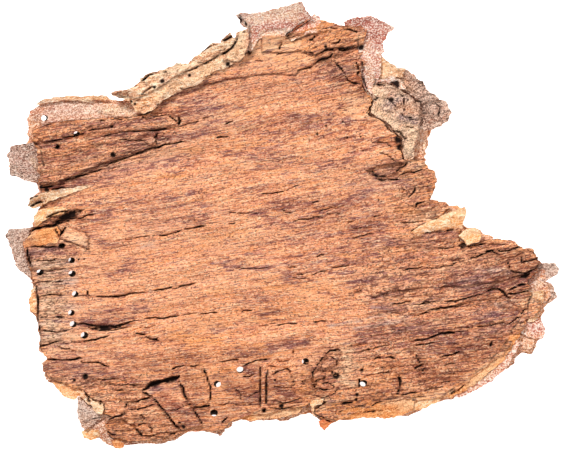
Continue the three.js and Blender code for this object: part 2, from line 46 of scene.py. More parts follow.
# Driving dimensions, as in the solid
LENGTH = 221.4  # left tongue to right tip
FACE_HEIGHT = 14.5  # inner face above the resting plane, at the middle
FACE_LAYER = 3.2  # thickness of the fibrous layer that forms the face
WOODY_LAYERS = 8  # layers between the fibrous layer and the outer scales
MIDDLE_SHARE = 0.45  # share of those layers that reaches out to the rim
SCALE_DEPTH = 3.3  # how far the outer scales stand out below
TRUNK_RADIUS = 450  # bend across the grain
LENGTHWISE_RADIUS = 2600  # slight bend along the grain
GRAIN_SLOPE = 0.15  # rise of the grain along X
BORE = 2.9  # diameter of a beetle's exit hole

# Outlines are read off a view from straight above, 563 by 450 pixels, where the piece is
# 553.5 pixels long. A point is pixels from the left and pixels from the top, and the numbers
# of a line are its points in turn.
VIEW_SIZE = (563, 450)
LENGTH_IN_PIXELS = 553.5
MIDDLE_PIXEL = (282.75, 225.75)
MM_PER_PIXEL = LENGTH / LENGTH_IN_PIXELS

def points(*numbers):
    """Points of an outline or a line, from their numbers in turn."""
    return list(zip(numbers[::2], numbers[1::2]))


# Outline of the whole piece, and of the fibrous face in it
RIM = points(
    28, 118, 30, 111, 35, 107, 42, 104, 58, 100.5, 72, 97.5, 90, 95.5, 106, 98, 119, 100, 131, 99,
    143, 88, 152, 79, 166, 74, 180, 70, 195, 63, 208, 53, 222, 48, 235, 44, 245, 34, 250, 24, 272, 18,
    300, 14, 311, 19, 314, 14.5, 319, 20, 325, 20, 336, 26, 346, 26, 366, 28, 377, 38, 379, 58, 390, 66,
    404, 73, 412, 79, 418, 88, 425, 96, 438, 104, 445, 111, 441, 119, 430, 126, 428, 140, 425, 154,
    425.5, 166, 436, 171, 437, 180, 435, 190, 430, 200, 447, 202.5, 451, 207, 458, 209, 465, 206.5,
    468, 211, 463, 224, 467, 230, 477, 228, 484, 234, 495, 238.5, 512, 239, 524, 248, 533, 248, 540, 260,
    545, 264, 552, 268, 550, 276, 546, 281, 551, 285, 553, 296, 545, 308, 541, 319, 544.5, 329, 543, 338,
    537, 340, 536, 347, 531, 354, 521, 352.5, 515, 359, 515, 363, 507, 369, 500, 369.5, 487, 376,
    479, 387, 467, 393, 459, 397, 447, 400, 421, 404, 421, 409, 408, 416, 392, 416, 380, 412, 370, 417,
    345, 419, 333, 423, 322, 428, 321, 421, 312, 415, 310, 410, 300, 415.5, 288, 420, 262, 420, 250, 422,
    243, 419, 233, 422, 230, 429, 225, 429, 222, 435.5, 200, 431, 188, 431.5, 176, 440, 160, 443.5,
    127, 444.5, 116, 447.5, 106, 444, 100, 438, 92, 439.5, 83, 437, 84, 430, 78, 412, 80, 397, 70, 396,
    61, 393, 56, 385, 46, 380, 41, 364, 46, 359, 38.5, 350, 39, 338, 35, 318, 28, 310, 33, 291, 30, 278,
    23, 273, 15.5, 266, 13, 257, 10, 242, 6.5, 235, 9, 230, 31, 226.5, 33.5, 217, 40, 205, 28, 203,
    31, 198, 38, 192, 36, 183, 22, 179, 10.5, 174, 8, 156, 15, 144.5, 30, 143, 26.3, 135
)
FACE = points(
    34, 131, 50, 124, 65, 121.5, 95, 119, 130, 118, 150, 113, 157, 107, 170, 96, 185, 88, 200, 83,
    215, 71, 236, 60, 249, 53, 257, 43, 261, 37, 285, 37, 303, 32, 316, 29, 322, 22.5, 332, 23.5, 343, 28,
    361, 27, 366, 32, 361, 47, 365, 60, 365, 68, 362, 77, 362, 88, 372, 101, 368, 114, 385, 124, 392, 132,
    401, 138, 400, 150, 404, 160, 424, 160, 427, 168, 435, 172, 436, 180, 434, 190, 429, 200, 446, 203.5,
    450, 207, 436, 219, 412, 230, 414, 236, 440, 229, 460, 230, 459, 241, 472, 246, 486, 241, 498, 239.5,
    511, 240, 523, 249, 532, 249.5, 539, 262, 536, 272, 528, 280, 528, 292, 540, 300, 539, 310, 534, 318,
    524, 320, 520, 331, 509, 344, 497, 357, 482, 368, 468, 380, 452, 393, 440, 396, 415, 398.5, 400, 399,
    386, 401, 372, 409.5, 357, 411.5, 345, 417, 335, 420, 322, 418.5, 313, 411, 327, 400.5, 315, 401,
    303, 405, 290, 409, 262, 412, 247, 416, 231, 420, 224, 428, 212, 430, 186, 430, 175, 435, 150, 440,
    128, 440, 112, 437, 106, 424, 112, 416, 100, 411, 104, 405, 88, 396, 82, 388, 60, 382, 47, 376,
    43, 366, 48, 359, 41, 350, 41, 338, 37, 318, 36, 308, 35, 292, 36, 285, 32, 276, 28, 262, 23, 244,
    33, 229, 38, 226, 36, 217, 42, 206, 47, 198, 42, 192, 40, 183, 39, 170, 38, 150, 34, 142
)

# Plates of the face, with their lift in millimetres, and their outlines
FACE_PLATES = [
    # terrace along the top edge
    (1.3, points(199, 86, 215, 84, 228, 79, 250, 77, 270, 74, 295, 75.5, 299, 70, 311, 67, 316, 61,
        334, 57, 338, 50, 358, 48, 372, 48, 372, 20, 310, 8, 230, 30, 190, 70)),
    # torn upper leaf of that terrace
    (2.4, points(262, 53, 285, 53, 301, 52, 315, 56, 325, 51, 340, 48.5, 350, 46, 359, 46.5, 374, 46,
        374, 15, 262, 15)),
    # upper left plate, with a splintered right end
    (1.2, points(25, 132, 60, 122, 100, 112, 140, 110, 167, 116, 179, 117, 178.5, 127, 160, 129.5,
        140, 131, 120, 132, 100, 136, 80, 139, 45, 142)),
    # thick rounded plate below it
    (2.3, points(20, 150, 60, 141, 100, 136, 120, 132, 150, 131, 159, 131.5, 155, 137, 157, 145, 140, 152,
        113, 159, 100, 164, 75, 175, 60, 181, 38, 186, 20, 186)),
    # pale chip, lifted
    (1.5, points(60, 238, 67, 225, 78, 229, 89, 236, 89, 249, 72, 242)),
    # block beside the twin cracks
    (0.9, points(267.5, 366, 284, 367, 292, 375, 295, 384, 290, 386, 297, 396, 302, 401, 267.5, 403)),
    # block left of the twin cracks
    (0.7, points(240, 374, 248, 365, 259.5, 364, 259.5, 404, 240, 402, 239, 390)),
    # bright plate beyond the open gap, lower left
    (1.6, points(142, 392, 152, 384, 172, 380, 179, 383, 184, 393, 188, 402, 196, 412, 202, 424, 182, 430,
        165, 414, 157, 401, 151, 395)),
    # block beyond it
    (0.9, points(178, 371, 199, 361, 203, 374, 210, 396, 208, 410, 192, 404, 181, 384)),
    # small stepped block, lower left
    (1.3, points(126, 409, 128, 403, 140, 401, 153, 397.5, 158, 403, 167, 415, 180, 430, 165, 436,
        143, 434.5, 136, 425, 121, 417)),
    # shelf on the right, above the long crack
    (1.3, points(372, 297, 395, 290, 430, 288, 470, 285, 500, 281, 527, 272, 540, 262, 536, 246, 507, 261,
        490, 251, 460, 259, 450, 265, 428, 268, 405, 269, 385, 262, 370, 284)),
    # shelf on the right, below the long crack
    (-1, points(415, 316, 430, 309.5, 450, 305, 480, 299, 500, 297, 519, 307, 503, 327, 468, 327,
        440, 330, 425, 325)),
    # hollow beside the bend of the right edge
    (-1.7, points(367, 171, 378, 166, 398, 162, 404, 163, 398, 175, 380, 179.5)),
    # rough sunken knot near the bottom edge
    (-0.9, points(330, 350, 342, 351, 338, 365, 341, 384, 334, 396, 313, 395, 311, 379)),
    # open gap behind the bright plate
    (-2.6, points(144, 389.5, 151, 382, 176, 376, 178, 380, 170, 380.5, 153, 384)),
]

# Rim pieces: kind, height over the face, how far they curl up and towards which side,
# thickness, and outline
RimPiece = namedtuple("RimPiece", "kind height curl toward thick outline")
RIM_PIECES = [
    # cork strip along the top left edge
    RimPiece("cork", 2.6, 0, (0, 1), 6, points(110.5, 94.5, 114, 92, 126, 90.5, 134, 88, 141, 83, 142, 79,
        148, 75, 158, 72, 170, 68, 176, 65, 188, 64, 196, 56, 208, 48, 213, 43.5, 221, 44, 226, 36,
        231, 33.5, 234, 42, 238, 34, 247, 29, 249, 40, 245, 56, 241, 62, 230, 67, 224, 70, 215, 72,
        205, 79, 200, 84, 185, 89, 170, 97, 162, 101, 157, 108, 145, 114, 137, 112, 131, 103, 120, 98)),
    # broad scale curled up at the top
    RimPiece("pink", 2, 6, (0.15, 1), 1.2, points(236, 17, 239, 15.5, 252, 15, 266, 13, 278, 10, 292, 6.5,
        302, 4, 306, 12, 311, 19, 296, 28, 285, 38.5, 275, 40, 260, 38.5, 257, 44, 249, 54, 246.5, 50,
        248, 30, 241, 26)),
    # scale at the top right
    RimPiece("pink", -0.6, 3.4, (0.8, 0.6), 1.3, points(343, 22.5, 348, 20.5, 360, 18, 373, 18, 383, 22.5,
        393, 28.5, 387, 36, 382, 42, 383.5, 51, 381, 57, 380, 76, 371, 94, 364, 88, 362, 77, 362, 66,
        358, 50, 358, 34, 344, 30)),
    # cream wedge under it
    RimPiece("cream", -1.6, 2.4, (0.7, 0.7), 1.4, points(373, 50, 380, 57, 387, 61, 394, 67, 404, 69.5,
        403, 78, 390, 77, 376, 82)),
    # narrow curl below the wedge
    RimPiece("pink", 0.6, 1.8, (1, 0), 1.2, points(378, 81, 392, 76, 400, 79, 407, 90, 399, 89, 391, 83)),
    # two grey scales, one over the other, on the right shoulder
    RimPiece("rough", -1.2, 3.2, (0.9, 0.3), 1.6, points(396, 68, 404, 69.5, 411, 71.5, 416, 79, 423, 82,
        426, 90, 434, 94.5, 438, 99, 422, 103, 408, 94, 400, 84)),
    # lower shoulder scale
    RimPiece("rough", -2.4, 3.4, (1, 0), 1.6, points(412, 99, 428, 98, 438.5, 100, 445, 101, 449, 108,
        451, 111, 448, 121, 442, 125, 430, 131, 418, 128, 410, 114)),
    # rough crust between the face and the shoulder
    RimPiece("crust", 0.3, 0, (1, 0), 4, points(372, 84, 384, 83, 396, 88, 410, 96, 420, 102, 421, 118,
        416, 140, 413, 158, 406, 162, 402, 149, 402, 138, 393, 131, 386, 121, 370, 113, 373, 101)),
    # grey scale at the right tip
    RimPiece("grey", -3.4, 1.6, (1, 0.2), 1.6, points(536, 266, 545, 262.5, 555, 263.5, 559.5, 268,
        556, 275, 546, 281, 534, 280)),
    # second tip scale
    RimPiece("grey", -4.6, 1.2, (1, 0), 1.6, points(536, 284, 552, 283, 555, 290, 556.5, 297.5, 550, 303,
        537, 304)),
    # pink edge scale
    RimPiece("pink", -2.2, 1, (1, -0.4), 1.6, points(520, 322, 534, 319, 541, 319, 545, 329, 543, 338,
        532, 338, 521, 333)),
    # pale torn wedge on the right
    RimPiece("yellow", -0.2, -2.2, (0.7, -0.7), 3, points(409, 232, 425, 224, 440, 218, 451, 211,
        465, 206.5, 468, 211, 464, 221, 463, 228, 441, 231, 425, 232, 414, 238)),
    # yellow lump
    RimPiece("yellow", 0.9, 0, (1, 0), 4, points(459, 236, 463, 230, 474, 228, 482, 233, 479, 242,
        466, 244.5)),
    # tongue on the left, a lower layer laid bare
    RimPiece("grey", -2, 2.2, (-1, 0.2), 1.6, points(36, 143, 20, 144.5, 11, 147, 8, 156, 11, 166,
        10.5, 174, 22, 179, 38, 182.5, 44, 165, 42, 148)),
    # lower left tongue
    RimPiece("grey", -2, 2.4, (-1, 0), 1.6, points(36, 226, 24, 228, 9, 230, 6.5, 235, 11, 250, 15.5, 266,
        23, 273, 31, 279, 33, 262, 27, 244)),
    # flakes of the lower left corner
    RimPiece("grey", -1.6, 1.4, (-1, -0.3), 1.6, points(79, 397, 90, 405, 100, 415, 101, 418, 86, 429,
        82, 426, 78, 412)),
    # cream corner flake
    RimPiece("cream", 0.5, 0, (1, 0), 3, points(83, 390, 90, 398, 102, 403, 105, 408, 102, 413, 97, 413,
        90, 404, 80, 396)),
    # yellow corner flake
    RimPiece("yellow", -2.2, 0.8, (-0.6, -1), 1.4, points(52, 382, 75, 383, 83, 391, 75, 400, 61, 393)),
    # yellow strip above the upper left ledge
    RimPiece("cream", -1.6, 0.8, (0, 1), 3, points(37, 105, 44, 99.5, 62, 96.5, 84, 97, 104, 95.5,
        111, 99, 104, 100.5, 84, 101, 62, 101, 46, 103.5)),
    # pale ridge on the left
    RimPiece("cream", 0.9, 0, (-1, 0), 2.5, points(28, 206, 30, 198, 44, 193, 60, 189, 84, 186, 88, 187.5,
        72, 193, 56, 199, 42, 205, 34, 208)),
    # yellow ridge below it
    RimPiece("yellow", 1.3, 0, (-1, 0), 3, points(34, 222, 35, 214, 44, 208, 58, 206, 68, 209, 65, 213.5,
        52, 216.5, 44, 222, 37, 226)),
    # orange plate between the left cracks
    RimPiece("orange", 0.7, 0, (-1, 0), 2.5, points(26, 240, 32, 232, 44, 228, 58, 226, 61, 232, 57, 243,
        40, 245.5, 27, 247)),
    # flakes on the left edge
    RimPiece("yellow", -1, 0, (-1, 0), 2, points(29, 300, 31, 290, 36, 286, 37.5, 300, 37, 314, 32, 312)),
    # yellow scale at the lower left corner
    RimPiece("yellow", -2.6, 0.6, (-0.6, -1), 1.6, points(81, 431, 88, 427, 99, 430, 101, 436, 91, 440,
        84, 437)),
    # orange chip beside it
    RimPiece("orange", -2.4, 0.6, (0, -1), 1.4, points(112, 441, 119, 437, 127, 440, 124, 446, 116, 447.5)),
    # orange layer at the bottom
    RimPiece("orange", -1.6, 0, (0, -1), 2, points(240, 417, 254, 413, 262, 409, 276, 410, 290, 408,
        302, 407, 298, 413, 284, 417, 268, 418, 250, 420.5)),
    # red chip at the bottom tip
    RimPiece("red", -0.8, 0, (0, -1), 1.8, points(318, 420, 325, 417, 335, 420, 328, 425, 324, 429,
        320, 425)),
    # orange fringe at the bottom
    RimPiece("orange", -0.3, 0, (0, -1), 1.8, points(336, 413, 350, 407, 362, 405, 374, 400, 390, 398,
        404, 395, 414, 400, 413, 408, 400, 415, 384, 417.5, 366, 416.5, 352, 419, 338, 419.5)),
    # layer after it
    RimPiece("yellow", -1.4, 0, (0, -1), 2, points(402, 403, 416, 396, 432, 396, 441, 394, 438, 401,
        424, 407, 410, 411)),
    # chip over the notch at the bottom
    RimPiece("yellow", 0.2, 0, (0, -1), 2, points(309, 402, 315, 398.5, 319, 399.5, 325, 397, 322, 403,
        315, 406, 313, 410)),
    # pink band along the lower right edge
    RimPiece("pink", -1.4, 0, (0.6, -1), 2, points(450, 392, 466, 386, 479, 380, 491, 370, 502, 360,
        508, 348, 511, 338, 519, 342, 513, 356, 505, 368, 492, 380, 476, 390, 458, 398)),
    # torn layer between that band and the face
    RimPiece("orange", -0.9, 0, (0.6, -1), 2.2, points(440, 395, 456, 386, 470, 377, 486, 363, 499, 350,
        508, 338, 512, 328, 521, 319, 525, 322, 520, 334, 512, 346, 503, 359, 490, 371, 476, 382,
        464, 390, 450, 396)),
    # cream rim near the right tip
    RimPiece("cream", -1.2, 0, (1, 0), 2, points(528, 300, 535, 291, 543, 290, 543, 300, 538, 310,
        534, 320, 527, 322)),
    # chip beside the broad scale
    RimPiece("pink", 2.6, 0, (1, 0), 1.6, points(288, 39, 299, 28, 311, 19, 314, 13.5, 319, 18, 321, 25,
        319, 33, 305, 37, 292, 42)),
]

# Steps on the rim pieces and the ledges
RIM_PLATES = [
    # upper tier of the cork strip
    (1.1, points(108, 92, 134, 84, 150, 70, 176, 61, 196, 52, 213, 38, 240, 30, 239, 37, 232, 50, 220, 55,
        208, 62, 196, 68, 182, 75, 165, 84, 150, 93, 136, 99, 120, 96)),
    # pale mass at its right end
    (2, points(233, 48, 241, 28, 250, 26, 250, 42, 246, 58, 238, 64, 228, 60, 224, 62, 228, 55)),
    # wedge of pale layers beside the cork strip
    (0.8, points(98, 112, 112, 107, 126, 110, 138, 116, 132, 119, 112, 116)),
    # white band of the scale at the top
    (-0.6, points(258, 40, 262, 33, 274, 30, 286, 31, 284, 39, 272, 40)),
    # upper facet of the shoulder scales
    (0.9, points(398, 66, 412, 70, 424, 82, 436, 92, 424, 96, 410, 90, 400, 80)),
    # lower facet
    (0.8, points(428, 99, 446, 99, 453, 110, 446, 124, 432, 118, 426, 108)),
    # lifted crust beside the shoulder
    (1, points(384, 96, 396, 92, 410, 98, 420, 106, 418, 120, 402, 122, 388, 112)),
    # cream plate at the crust's lower end
    (0.8, points(403, 126, 418, 124, 419, 142, 408, 158, 404, 148)),
]

# Zones where the face is torn and rough
WORN_ZONES = [
    points(372, 158, 395, 190, 384, 215, 400, 232, 360, 262, 350, 300, 370, 312, 352, 340, 325, 350,
        305, 366, 300, 450, 563, 330, 563, 230, 440, 150),
    points(40, 365, 120, 376, 150, 372, 140, 396, 160, 420, 200, 428, 300, 412, 300, 450, 90, 450, 40, 400),
    points(15, 100, 170, 112, 182, 130, 160, 150, 110, 172, 60, 190, 10, 195),
    points(304, 34, 380, 20, 380, 100, 345, 96, 324, 78, 308, 58),
    points(15, 190, 60, 195, 70, 250, 66, 345, 20, 350),
]

# Cracks: width in millimetres, and the numbers of a line
CRACKS = [
    (1.6, 149, 389, 153, 384, 166, 380, 179, 376.5), (0.9, 28, 192, 40, 188, 56, 186),
    (1.9, 56, 220, 67, 216, 76, 213, 84, 210), (1.2, 64, 213, 72, 217, 78, 218),
    (0.7, 284, 41, 292, 33, 302, 26, 312, 20),
    (0.6, 91, 297, 106, 296.7, 118, 297, 120, 295.5, 134, 293.5, 150, 292),
    (0.5, 148, 292, 158, 290, 172, 287.5, 176, 288, 186, 284.8, 201, 282.3),
    (0.4, 86, 289, 88, 292, 87.5, 294.5, 92, 297.5), (0.3, 76, 296, 83, 295.2, 89, 295.5),
    (0.6, 66, 326, 80, 323.5, 95, 326, 115, 326, 124, 324, 132, 321.5, 145, 318.3),
    (1.5, 92, 328, 112, 327.8, 124, 326), (0.45, 84, 327, 100, 329.8, 114, 330, 131, 326.5),
    (0.5, 142, 318.8, 152, 317.5, 162, 318.5, 176, 316, 184, 315),
    (0.25, 182, 315, 190, 313.5, 198, 312.8), (0.25, 130, 330, 142, 327.5, 160, 325.3),
    (0.4, 196, 314.7, 206, 313.5, 213, 312.2, 221, 313), (0.4, 234, 312.7, 243, 311, 255, 310),
    (0.25, 257, 327, 266, 324.5, 277, 323.3), (0.42, 275, 325.2, 284, 324, 288, 323, 300, 323.5),
    (0.45, 312, 322.6, 318, 321.5, 328, 320.3),
    (0.6, 133, 332.3, 144, 334.5, 147, 337.5, 151, 339.3, 156, 338.8, 161, 343.4),
    (0.3, 154, 340, 160, 335.5), (0.5, 39, 347.5, 46, 345, 52, 343, 60, 340.6),
    (0.3, 60, 343.3, 72, 341.5, 85, 342), (0.5, 80, 341.8, 90, 340.5, 96, 339.5, 102, 337.3, 112, 334.8),
    (0.35, 55, 344.5, 62, 348.5, 70, 349.5, 79, 352),
    (0.65, 41, 358.5, 48, 359.2, 62, 360, 76, 359, 80, 357.5, 87, 358.5),
    (0.55, 76, 360.3, 84, 362, 100, 362.5, 104, 364.5, 108, 366.8, 110.8, 363.8),
    (0.35, 37, 296.5, 50, 295, 60, 295.7, 68, 294.3),
    (0.45, 37, 317.7, 48, 317, 56, 316.5, 62, 317.3, 68.5, 314),
    (0.4, 38, 330.3, 48, 331, 58, 331.5, 73, 329), (0.4, 34, 282.5, 50, 281.5, 60, 281, 67, 280),
    (0.35, 31, 271.5, 44, 271, 54, 270, 69, 268.3),
    (0.5, 35.5, 284, 38, 300, 38, 318, 40.5, 332, 40.5, 346, 43, 358),
    (0.3, 122, 240, 132, 239, 140, 237, 147, 236.3, 160, 236),
    (0.4, 156, 236.1, 165, 235, 173, 233, 185, 229.5), (0.55, 182, 230, 192, 228, 200, 226.5, 209, 225.4),
    (0.35, 228, 224, 236, 223), (0.6, 171, 369, 178, 366.5, 186, 365.6),
    (0.4, 189, 366, 194, 366.5, 200, 364.3),
    (1.6, 151, 384.4, 160, 382, 168, 380.5, 178, 377.5, 181, 373), (0.5, 142, 391, 148, 388, 153, 383.5),
    (0.4, 141, 391, 146, 393, 153, 397), (0.5, 127, 402.2, 135, 401.5, 141, 400, 153, 395.5),
    (0.45, 125, 408, 127, 404, 129, 402), (0.45, 126, 409.5, 137, 408.5, 143, 407.5, 158, 403),
    (0.55, 126, 409, 126, 412, 121, 415.5, 115, 416.5, 106, 421),
    (0.35, 106, 420, 108, 425, 108, 430, 112, 433, 119, 434),
    (0.6, 152, 396.5, 156, 399, 160, 404.5, 166, 412, 176, 425, 184, 431),
    (0.3, 141, 409, 141, 413, 146, 419, 147, 421), (0.35, 136, 426, 140, 424, 147, 422.5, 148, 420),
    (0.4, 136, 426, 138, 430, 142, 434, 142, 437), (0.3, 148, 424, 152, 428, 153, 434),
    (0.25, 110, 430.5, 120, 430, 136, 429.5), (0.3, 128, 435, 140, 434.5, 152, 436, 160, 433, 173, 430),
    (0.35, 169, 433, 175, 432, 177, 434.5), (0.3, 167, 411.3, 178, 409, 184, 405.5, 193, 403.7),
    (0.4, 177, 377, 180, 384, 184, 388, 184, 393, 189, 402),
    (0.45, 200, 363, 204, 368, 208, 379, 210.5, 388, 211, 405), (0.6, 193, 407, 200, 406.5, 211.5, 405),
    (0.4, 194, 406, 196, 413, 200, 419, 204, 425), (0.3, 95, 379.3, 106, 379, 119, 378),
    (0.4, 115, 390.7, 125, 389.7), (0.55, 88, 395, 90.5, 402), (0.5, 101, 399, 101, 405),
    (0.4, 82, 421, 92, 419, 103, 416.6), (0.3, 104, 383, 115, 385, 128, 384, 142, 385.5),
    (0.6, 122, 440, 126, 443.5, 131, 445.5), (0.3, 128, 443, 140, 441, 150, 439, 161, 438),
    (0.5, 217, 361.6, 226, 361, 232, 360, 241, 359.3),
    (0.5, 240, 368, 246, 364.5, 250, 362.5, 256, 360.5, 273, 358.2),
    (0.3, 275, 358, 280, 361.5, 285, 360.5, 292, 359.8), (0.35, 292.5, 349, 294, 355),
    (0.35, 260, 362, 260.5, 375, 260.3, 390, 260, 405, 260, 413),
    (0.5, 266.5, 364, 267, 370, 266.5, 385, 266.5, 400, 267, 408), (0.5, 268, 366, 278, 366.6),
    (0.35, 268, 373.5, 274, 374, 277, 371, 287, 368, 290, 371, 294, 383, 292, 387),
    (0.4, 242, 376.3, 250, 376, 255, 373.7), (0.3, 267, 386.5, 275, 386, 285, 387, 300, 387),
    (0.35, 248, 396.5, 256, 392, 260, 391), (0.3, 214, 404.5, 224, 404, 230, 402.5, 237, 405, 259, 403.5),
    (0.35, 268, 401, 275, 400, 283, 402, 292, 401, 304, 396.5), (0.25, 233, 387, 240, 393, 241, 401),
    (0.35, 302, 371, 301, 378, 304, 384, 308, 388), (0.35, 318, 364, 312, 373, 313, 384, 320, 393),
    (0.3, 322, 361, 330, 356, 337, 360, 336, 370), (0.3, 318, 376, 324, 371, 332, 371, 336, 380),
    (0.3, 319, 384, 328, 382, 334, 386, 332, 392), (0.35, 313, 395, 322, 397, 333, 394, 340, 386),
    (0.7, 222, 42, 228, 40, 234, 36), (0.6, 197, 56, 205, 51, 213, 46), (0.7, 239, 16, 246, 24, 248, 31),
    (0.5, 141, 83, 150, 76, 160, 73), (0.6, 30, 207, 37, 203, 44, 202), (0.5, 28, 200, 33, 197, 40, 196),
    (0.5, 345, 29, 352, 32, 359, 33), (0.35, 384, 96, 390, 100, 397, 108),
    (0.4, 400, 112, 406, 118, 414, 118), (0.5, 405, 126, 411, 128, 418, 126),
    (0.35, 398, 92, 404, 99, 404, 108), (0.4, 434, 102, 440, 108, 438, 118),
    (0.45, 34, 113, 36, 122, 33, 132), (0.5, 316, 366, 320, 361, 324, 356),
    (0.6, 324, 356, 329, 351, 334, 350.5, 338, 349, 343, 350),
    (0.6, 312, 386, 317, 380, 323, 379, 327, 375.5), (0.6, 319, 387.5, 324, 390, 329, 388.8),
    (0.9, 341, 403.3, 347, 402, 353, 402), (0.4, 314, 415, 322, 416, 326, 419, 331, 422.5),
    (0.6, 221, 423, 226, 418, 228.5, 415.5), (0.35, 267, 407, 280, 408.5, 297, 405),
    (0.75, 408, 341.5, 422, 339.5, 430, 337.5, 436, 335.5, 441, 333, 467, 331.3),
    (0.3, 351, 353.5, 362, 351, 378, 347, 388, 345, 395, 342),
    (0.5, 371, 361.5, 376, 358, 384, 356.5, 390, 356.8, 394, 359, 396, 362.5),
    (0.4, 412, 351, 416, 345, 424, 344, 435, 341.8), (0.45, 438, 357, 448, 354.5, 455, 352.5, 461, 349.5),
    (0.4, 442, 365.3, 450, 363, 458, 361.3), (0.5, 413, 368.5, 419, 366, 422, 364),
    (0.35, 415, 353, 418, 360, 421, 365, 426, 370), (0.35, 361, 376.5, 372, 374, 384, 372, 395, 371),
    (0.55, 358, 375, 359.5, 380, 359, 388), (0.7, 398, 374, 400, 381, 399, 389, 396, 395),
    (0.4, 396, 393.5, 404, 394, 410, 392, 421, 391), (0.3, 420, 391, 432, 388, 445, 386),
    (0.45, 370, 406, 376, 402, 383, 400.6), (0.4, 361, 411.3, 375, 410.5, 385, 409.3),
    (0.3, 449, 393.6, 458, 389, 465, 383), (0.35, 440, 381.8, 451, 379.8),
    (1.3, 458.5, 247, 463, 245.3, 467, 247), (0.7, 465, 247, 476, 245.5, 482, 244, 488, 243.3),
    (0.3, 486, 243.6, 494, 244, 502, 244.5, 511, 243.8),
    (0.45, 495, 248, 501, 251, 508, 251, 512, 249, 524, 245.5),
    (0.4, 422, 267.6, 432, 268.5, 452, 265.5, 457, 261.5, 460, 259, 468, 257.5),
    (0.6, 466, 257.8, 474, 257.5, 486, 252.5, 492, 250.5, 497, 254, 502, 257),
    (0.5, 501, 256.6, 506, 259.5, 508, 263, 510, 270, 514, 272, 526, 272.7, 538, 267),
    (0.4, 524, 251, 520, 256, 522, 262, 530, 261, 538, 258, 532, 252, 523, 251),
    (0.9, 519, 277.3, 527, 276, 530, 272), (0.65, 507, 290.5, 514, 287, 520, 285, 527, 283.6),
    (0.55, 440, 301.7, 456, 301, 462, 299, 470, 297.5, 478, 295, 487, 291.6),
    (0.75, 484, 292.7, 492, 289, 498, 288.5, 502, 291, 505, 294, 508, 299, 514, 297.5),
    (0.5, 505, 293, 515, 294, 525, 291, 532, 292), (0.45, 420, 302.6, 430, 302, 442, 301.5),
    (0.5, 389, 304.7, 398, 304, 406, 302, 413, 301.8), (0.4, 412, 304.7, 422, 304, 431, 302.8),
    (0.55, 416, 315.5, 426, 312, 432, 309.5, 440, 308, 448, 307, 470, 303), (0.8, 465, 328, 473, 327.3),
    (0.4, 472, 327.2, 484, 326, 492, 324.5, 507, 321.8),
    (0.4, 502, 328.6, 508, 324, 518, 317, 522, 312, 527, 305), (0.5, 491, 340, 490, 347),
    (0.4, 446, 230.7, 454, 229.8), (0.35, 435, 248.3, 445, 249, 456, 246.7),
    (0.4, 402, 270.7, 412, 268.5, 426, 266.2), (0.4, 328, 267.7, 338, 267, 346, 266, 351, 264.7),
    (0.4, 316, 256.2, 325, 254.8), (0.4, 296, 274.3, 304, 275),
    (0.35, 309, 274.8, 316, 273.5, 320, 271.5, 329, 270.9), (0.3, 290, 277.8, 300, 279, 311, 278),
    (0.35, 355, 292.3, 362, 290.3), (0.4, 312, 202.3, 319, 200.8),
    (0.35, 317, 210.2, 325, 210, 333, 207.5, 346, 205.8),
    (0.35, 291, 221.2, 300, 219.5, 308, 219.5, 318, 217, 327, 216.3), (0.3, 325, 213.6, 342, 213),
    (0.35, 353, 229.2, 362, 228, 369, 227.6), (0.35, 349, 238.3, 360, 236.5, 366, 234.5, 375, 234),
    (0.4, 347, 222.3, 353, 221.3), (0.35, 373, 217.2, 381, 215.8),
    (0.4, 398, 222, 405, 223, 412, 222, 427, 221),
    (0.8, 366, 171, 372, 171.5, 375, 175, 379, 177, 389, 175.3),
    (0.75, 375, 178.3, 382, 180.5, 394, 180, 401, 179.3),
    (0.55, 395, 173, 400, 168, 405, 165.5, 408.5, 160),
    (0.55, 398, 176.5, 403, 174, 408, 172.5, 414, 172, 425, 168.3),
    (0.3, 370, 142, 380, 142.5, 386, 143, 391, 147, 393, 152),
    (0.35, 376, 153, 383, 152.5, 390, 157, 397, 163), (0.45, 407, 199, 412, 194, 415, 190, 415, 185),
    (0.3, 401, 196, 404, 190, 406, 185.5), (0.5, 416, 208.5, 416, 204, 421, 202, 427, 200.7),
    (0.45, 260, 192.8, 266, 194, 280, 192.5, 286, 190.7), (0.3, 284, 191.5, 290, 188, 301, 183.8),
    (0.35, 282, 209, 285, 212, 293, 212.6), (0.35, 287, 263, 290, 267, 297, 267),
    (0.3, 224, 213, 240, 213, 255, 213.5, 263, 213), (0.3, 231, 268, 245, 268.5, 262, 268, 271, 267),
    (0.45, 177, 126.2, 184, 125.5, 190, 123.5, 201, 121), (0.65, 178, 116, 180, 121, 178, 126.5),
    (0.3, 201, 119.3, 209, 117.3),
    (0.35, 94, 138.2, 104, 136.5, 112, 134.5, 120, 132.5, 130, 131.5, 152, 131),
    (0.55, 148, 131.2, 156, 130.6, 169, 128.8), (0.45, 215, 138.2, 222, 137, 231, 135.8),
    (0.4, 225, 124.3, 229, 122.5, 234, 121.8),
    # these three cracks follow the lower edge of the thick rounded plate, and their painted shade stands for
    # its shadow
    (0.6, 139, 151, 150, 148.8, 160, 147, 166, 144.5, 172, 143.5, 189, 141.3),
    (0.5, 61, 181.3, 70, 178.5, 80, 176, 90, 173, 100, 170, 106, 166.5),
    (0.6, 104, 168, 112, 162.7, 120, 160, 130, 156.5, 140, 152.5, 151, 148.8),
    (0.45, 60, 137.5, 75, 136.5, 83, 134, 87, 132.8), (0.6, 51, 141.2, 58, 140, 64, 138.8),
    (0.3, 85, 132.5, 90, 130.5, 96, 129.5, 111, 128), (0.4, 97, 121, 106, 121, 116, 119.5, 126, 119),
    (0.45, 140, 117.4, 150, 118, 156, 116.5, 168, 114.8), (0.45, 168, 115, 174, 120, 179, 122),
    (0.35, 114, 141.2, 125, 140, 135, 140.5, 149, 139.5), (0.45, 158.5, 132.5, 155, 138, 157, 144),
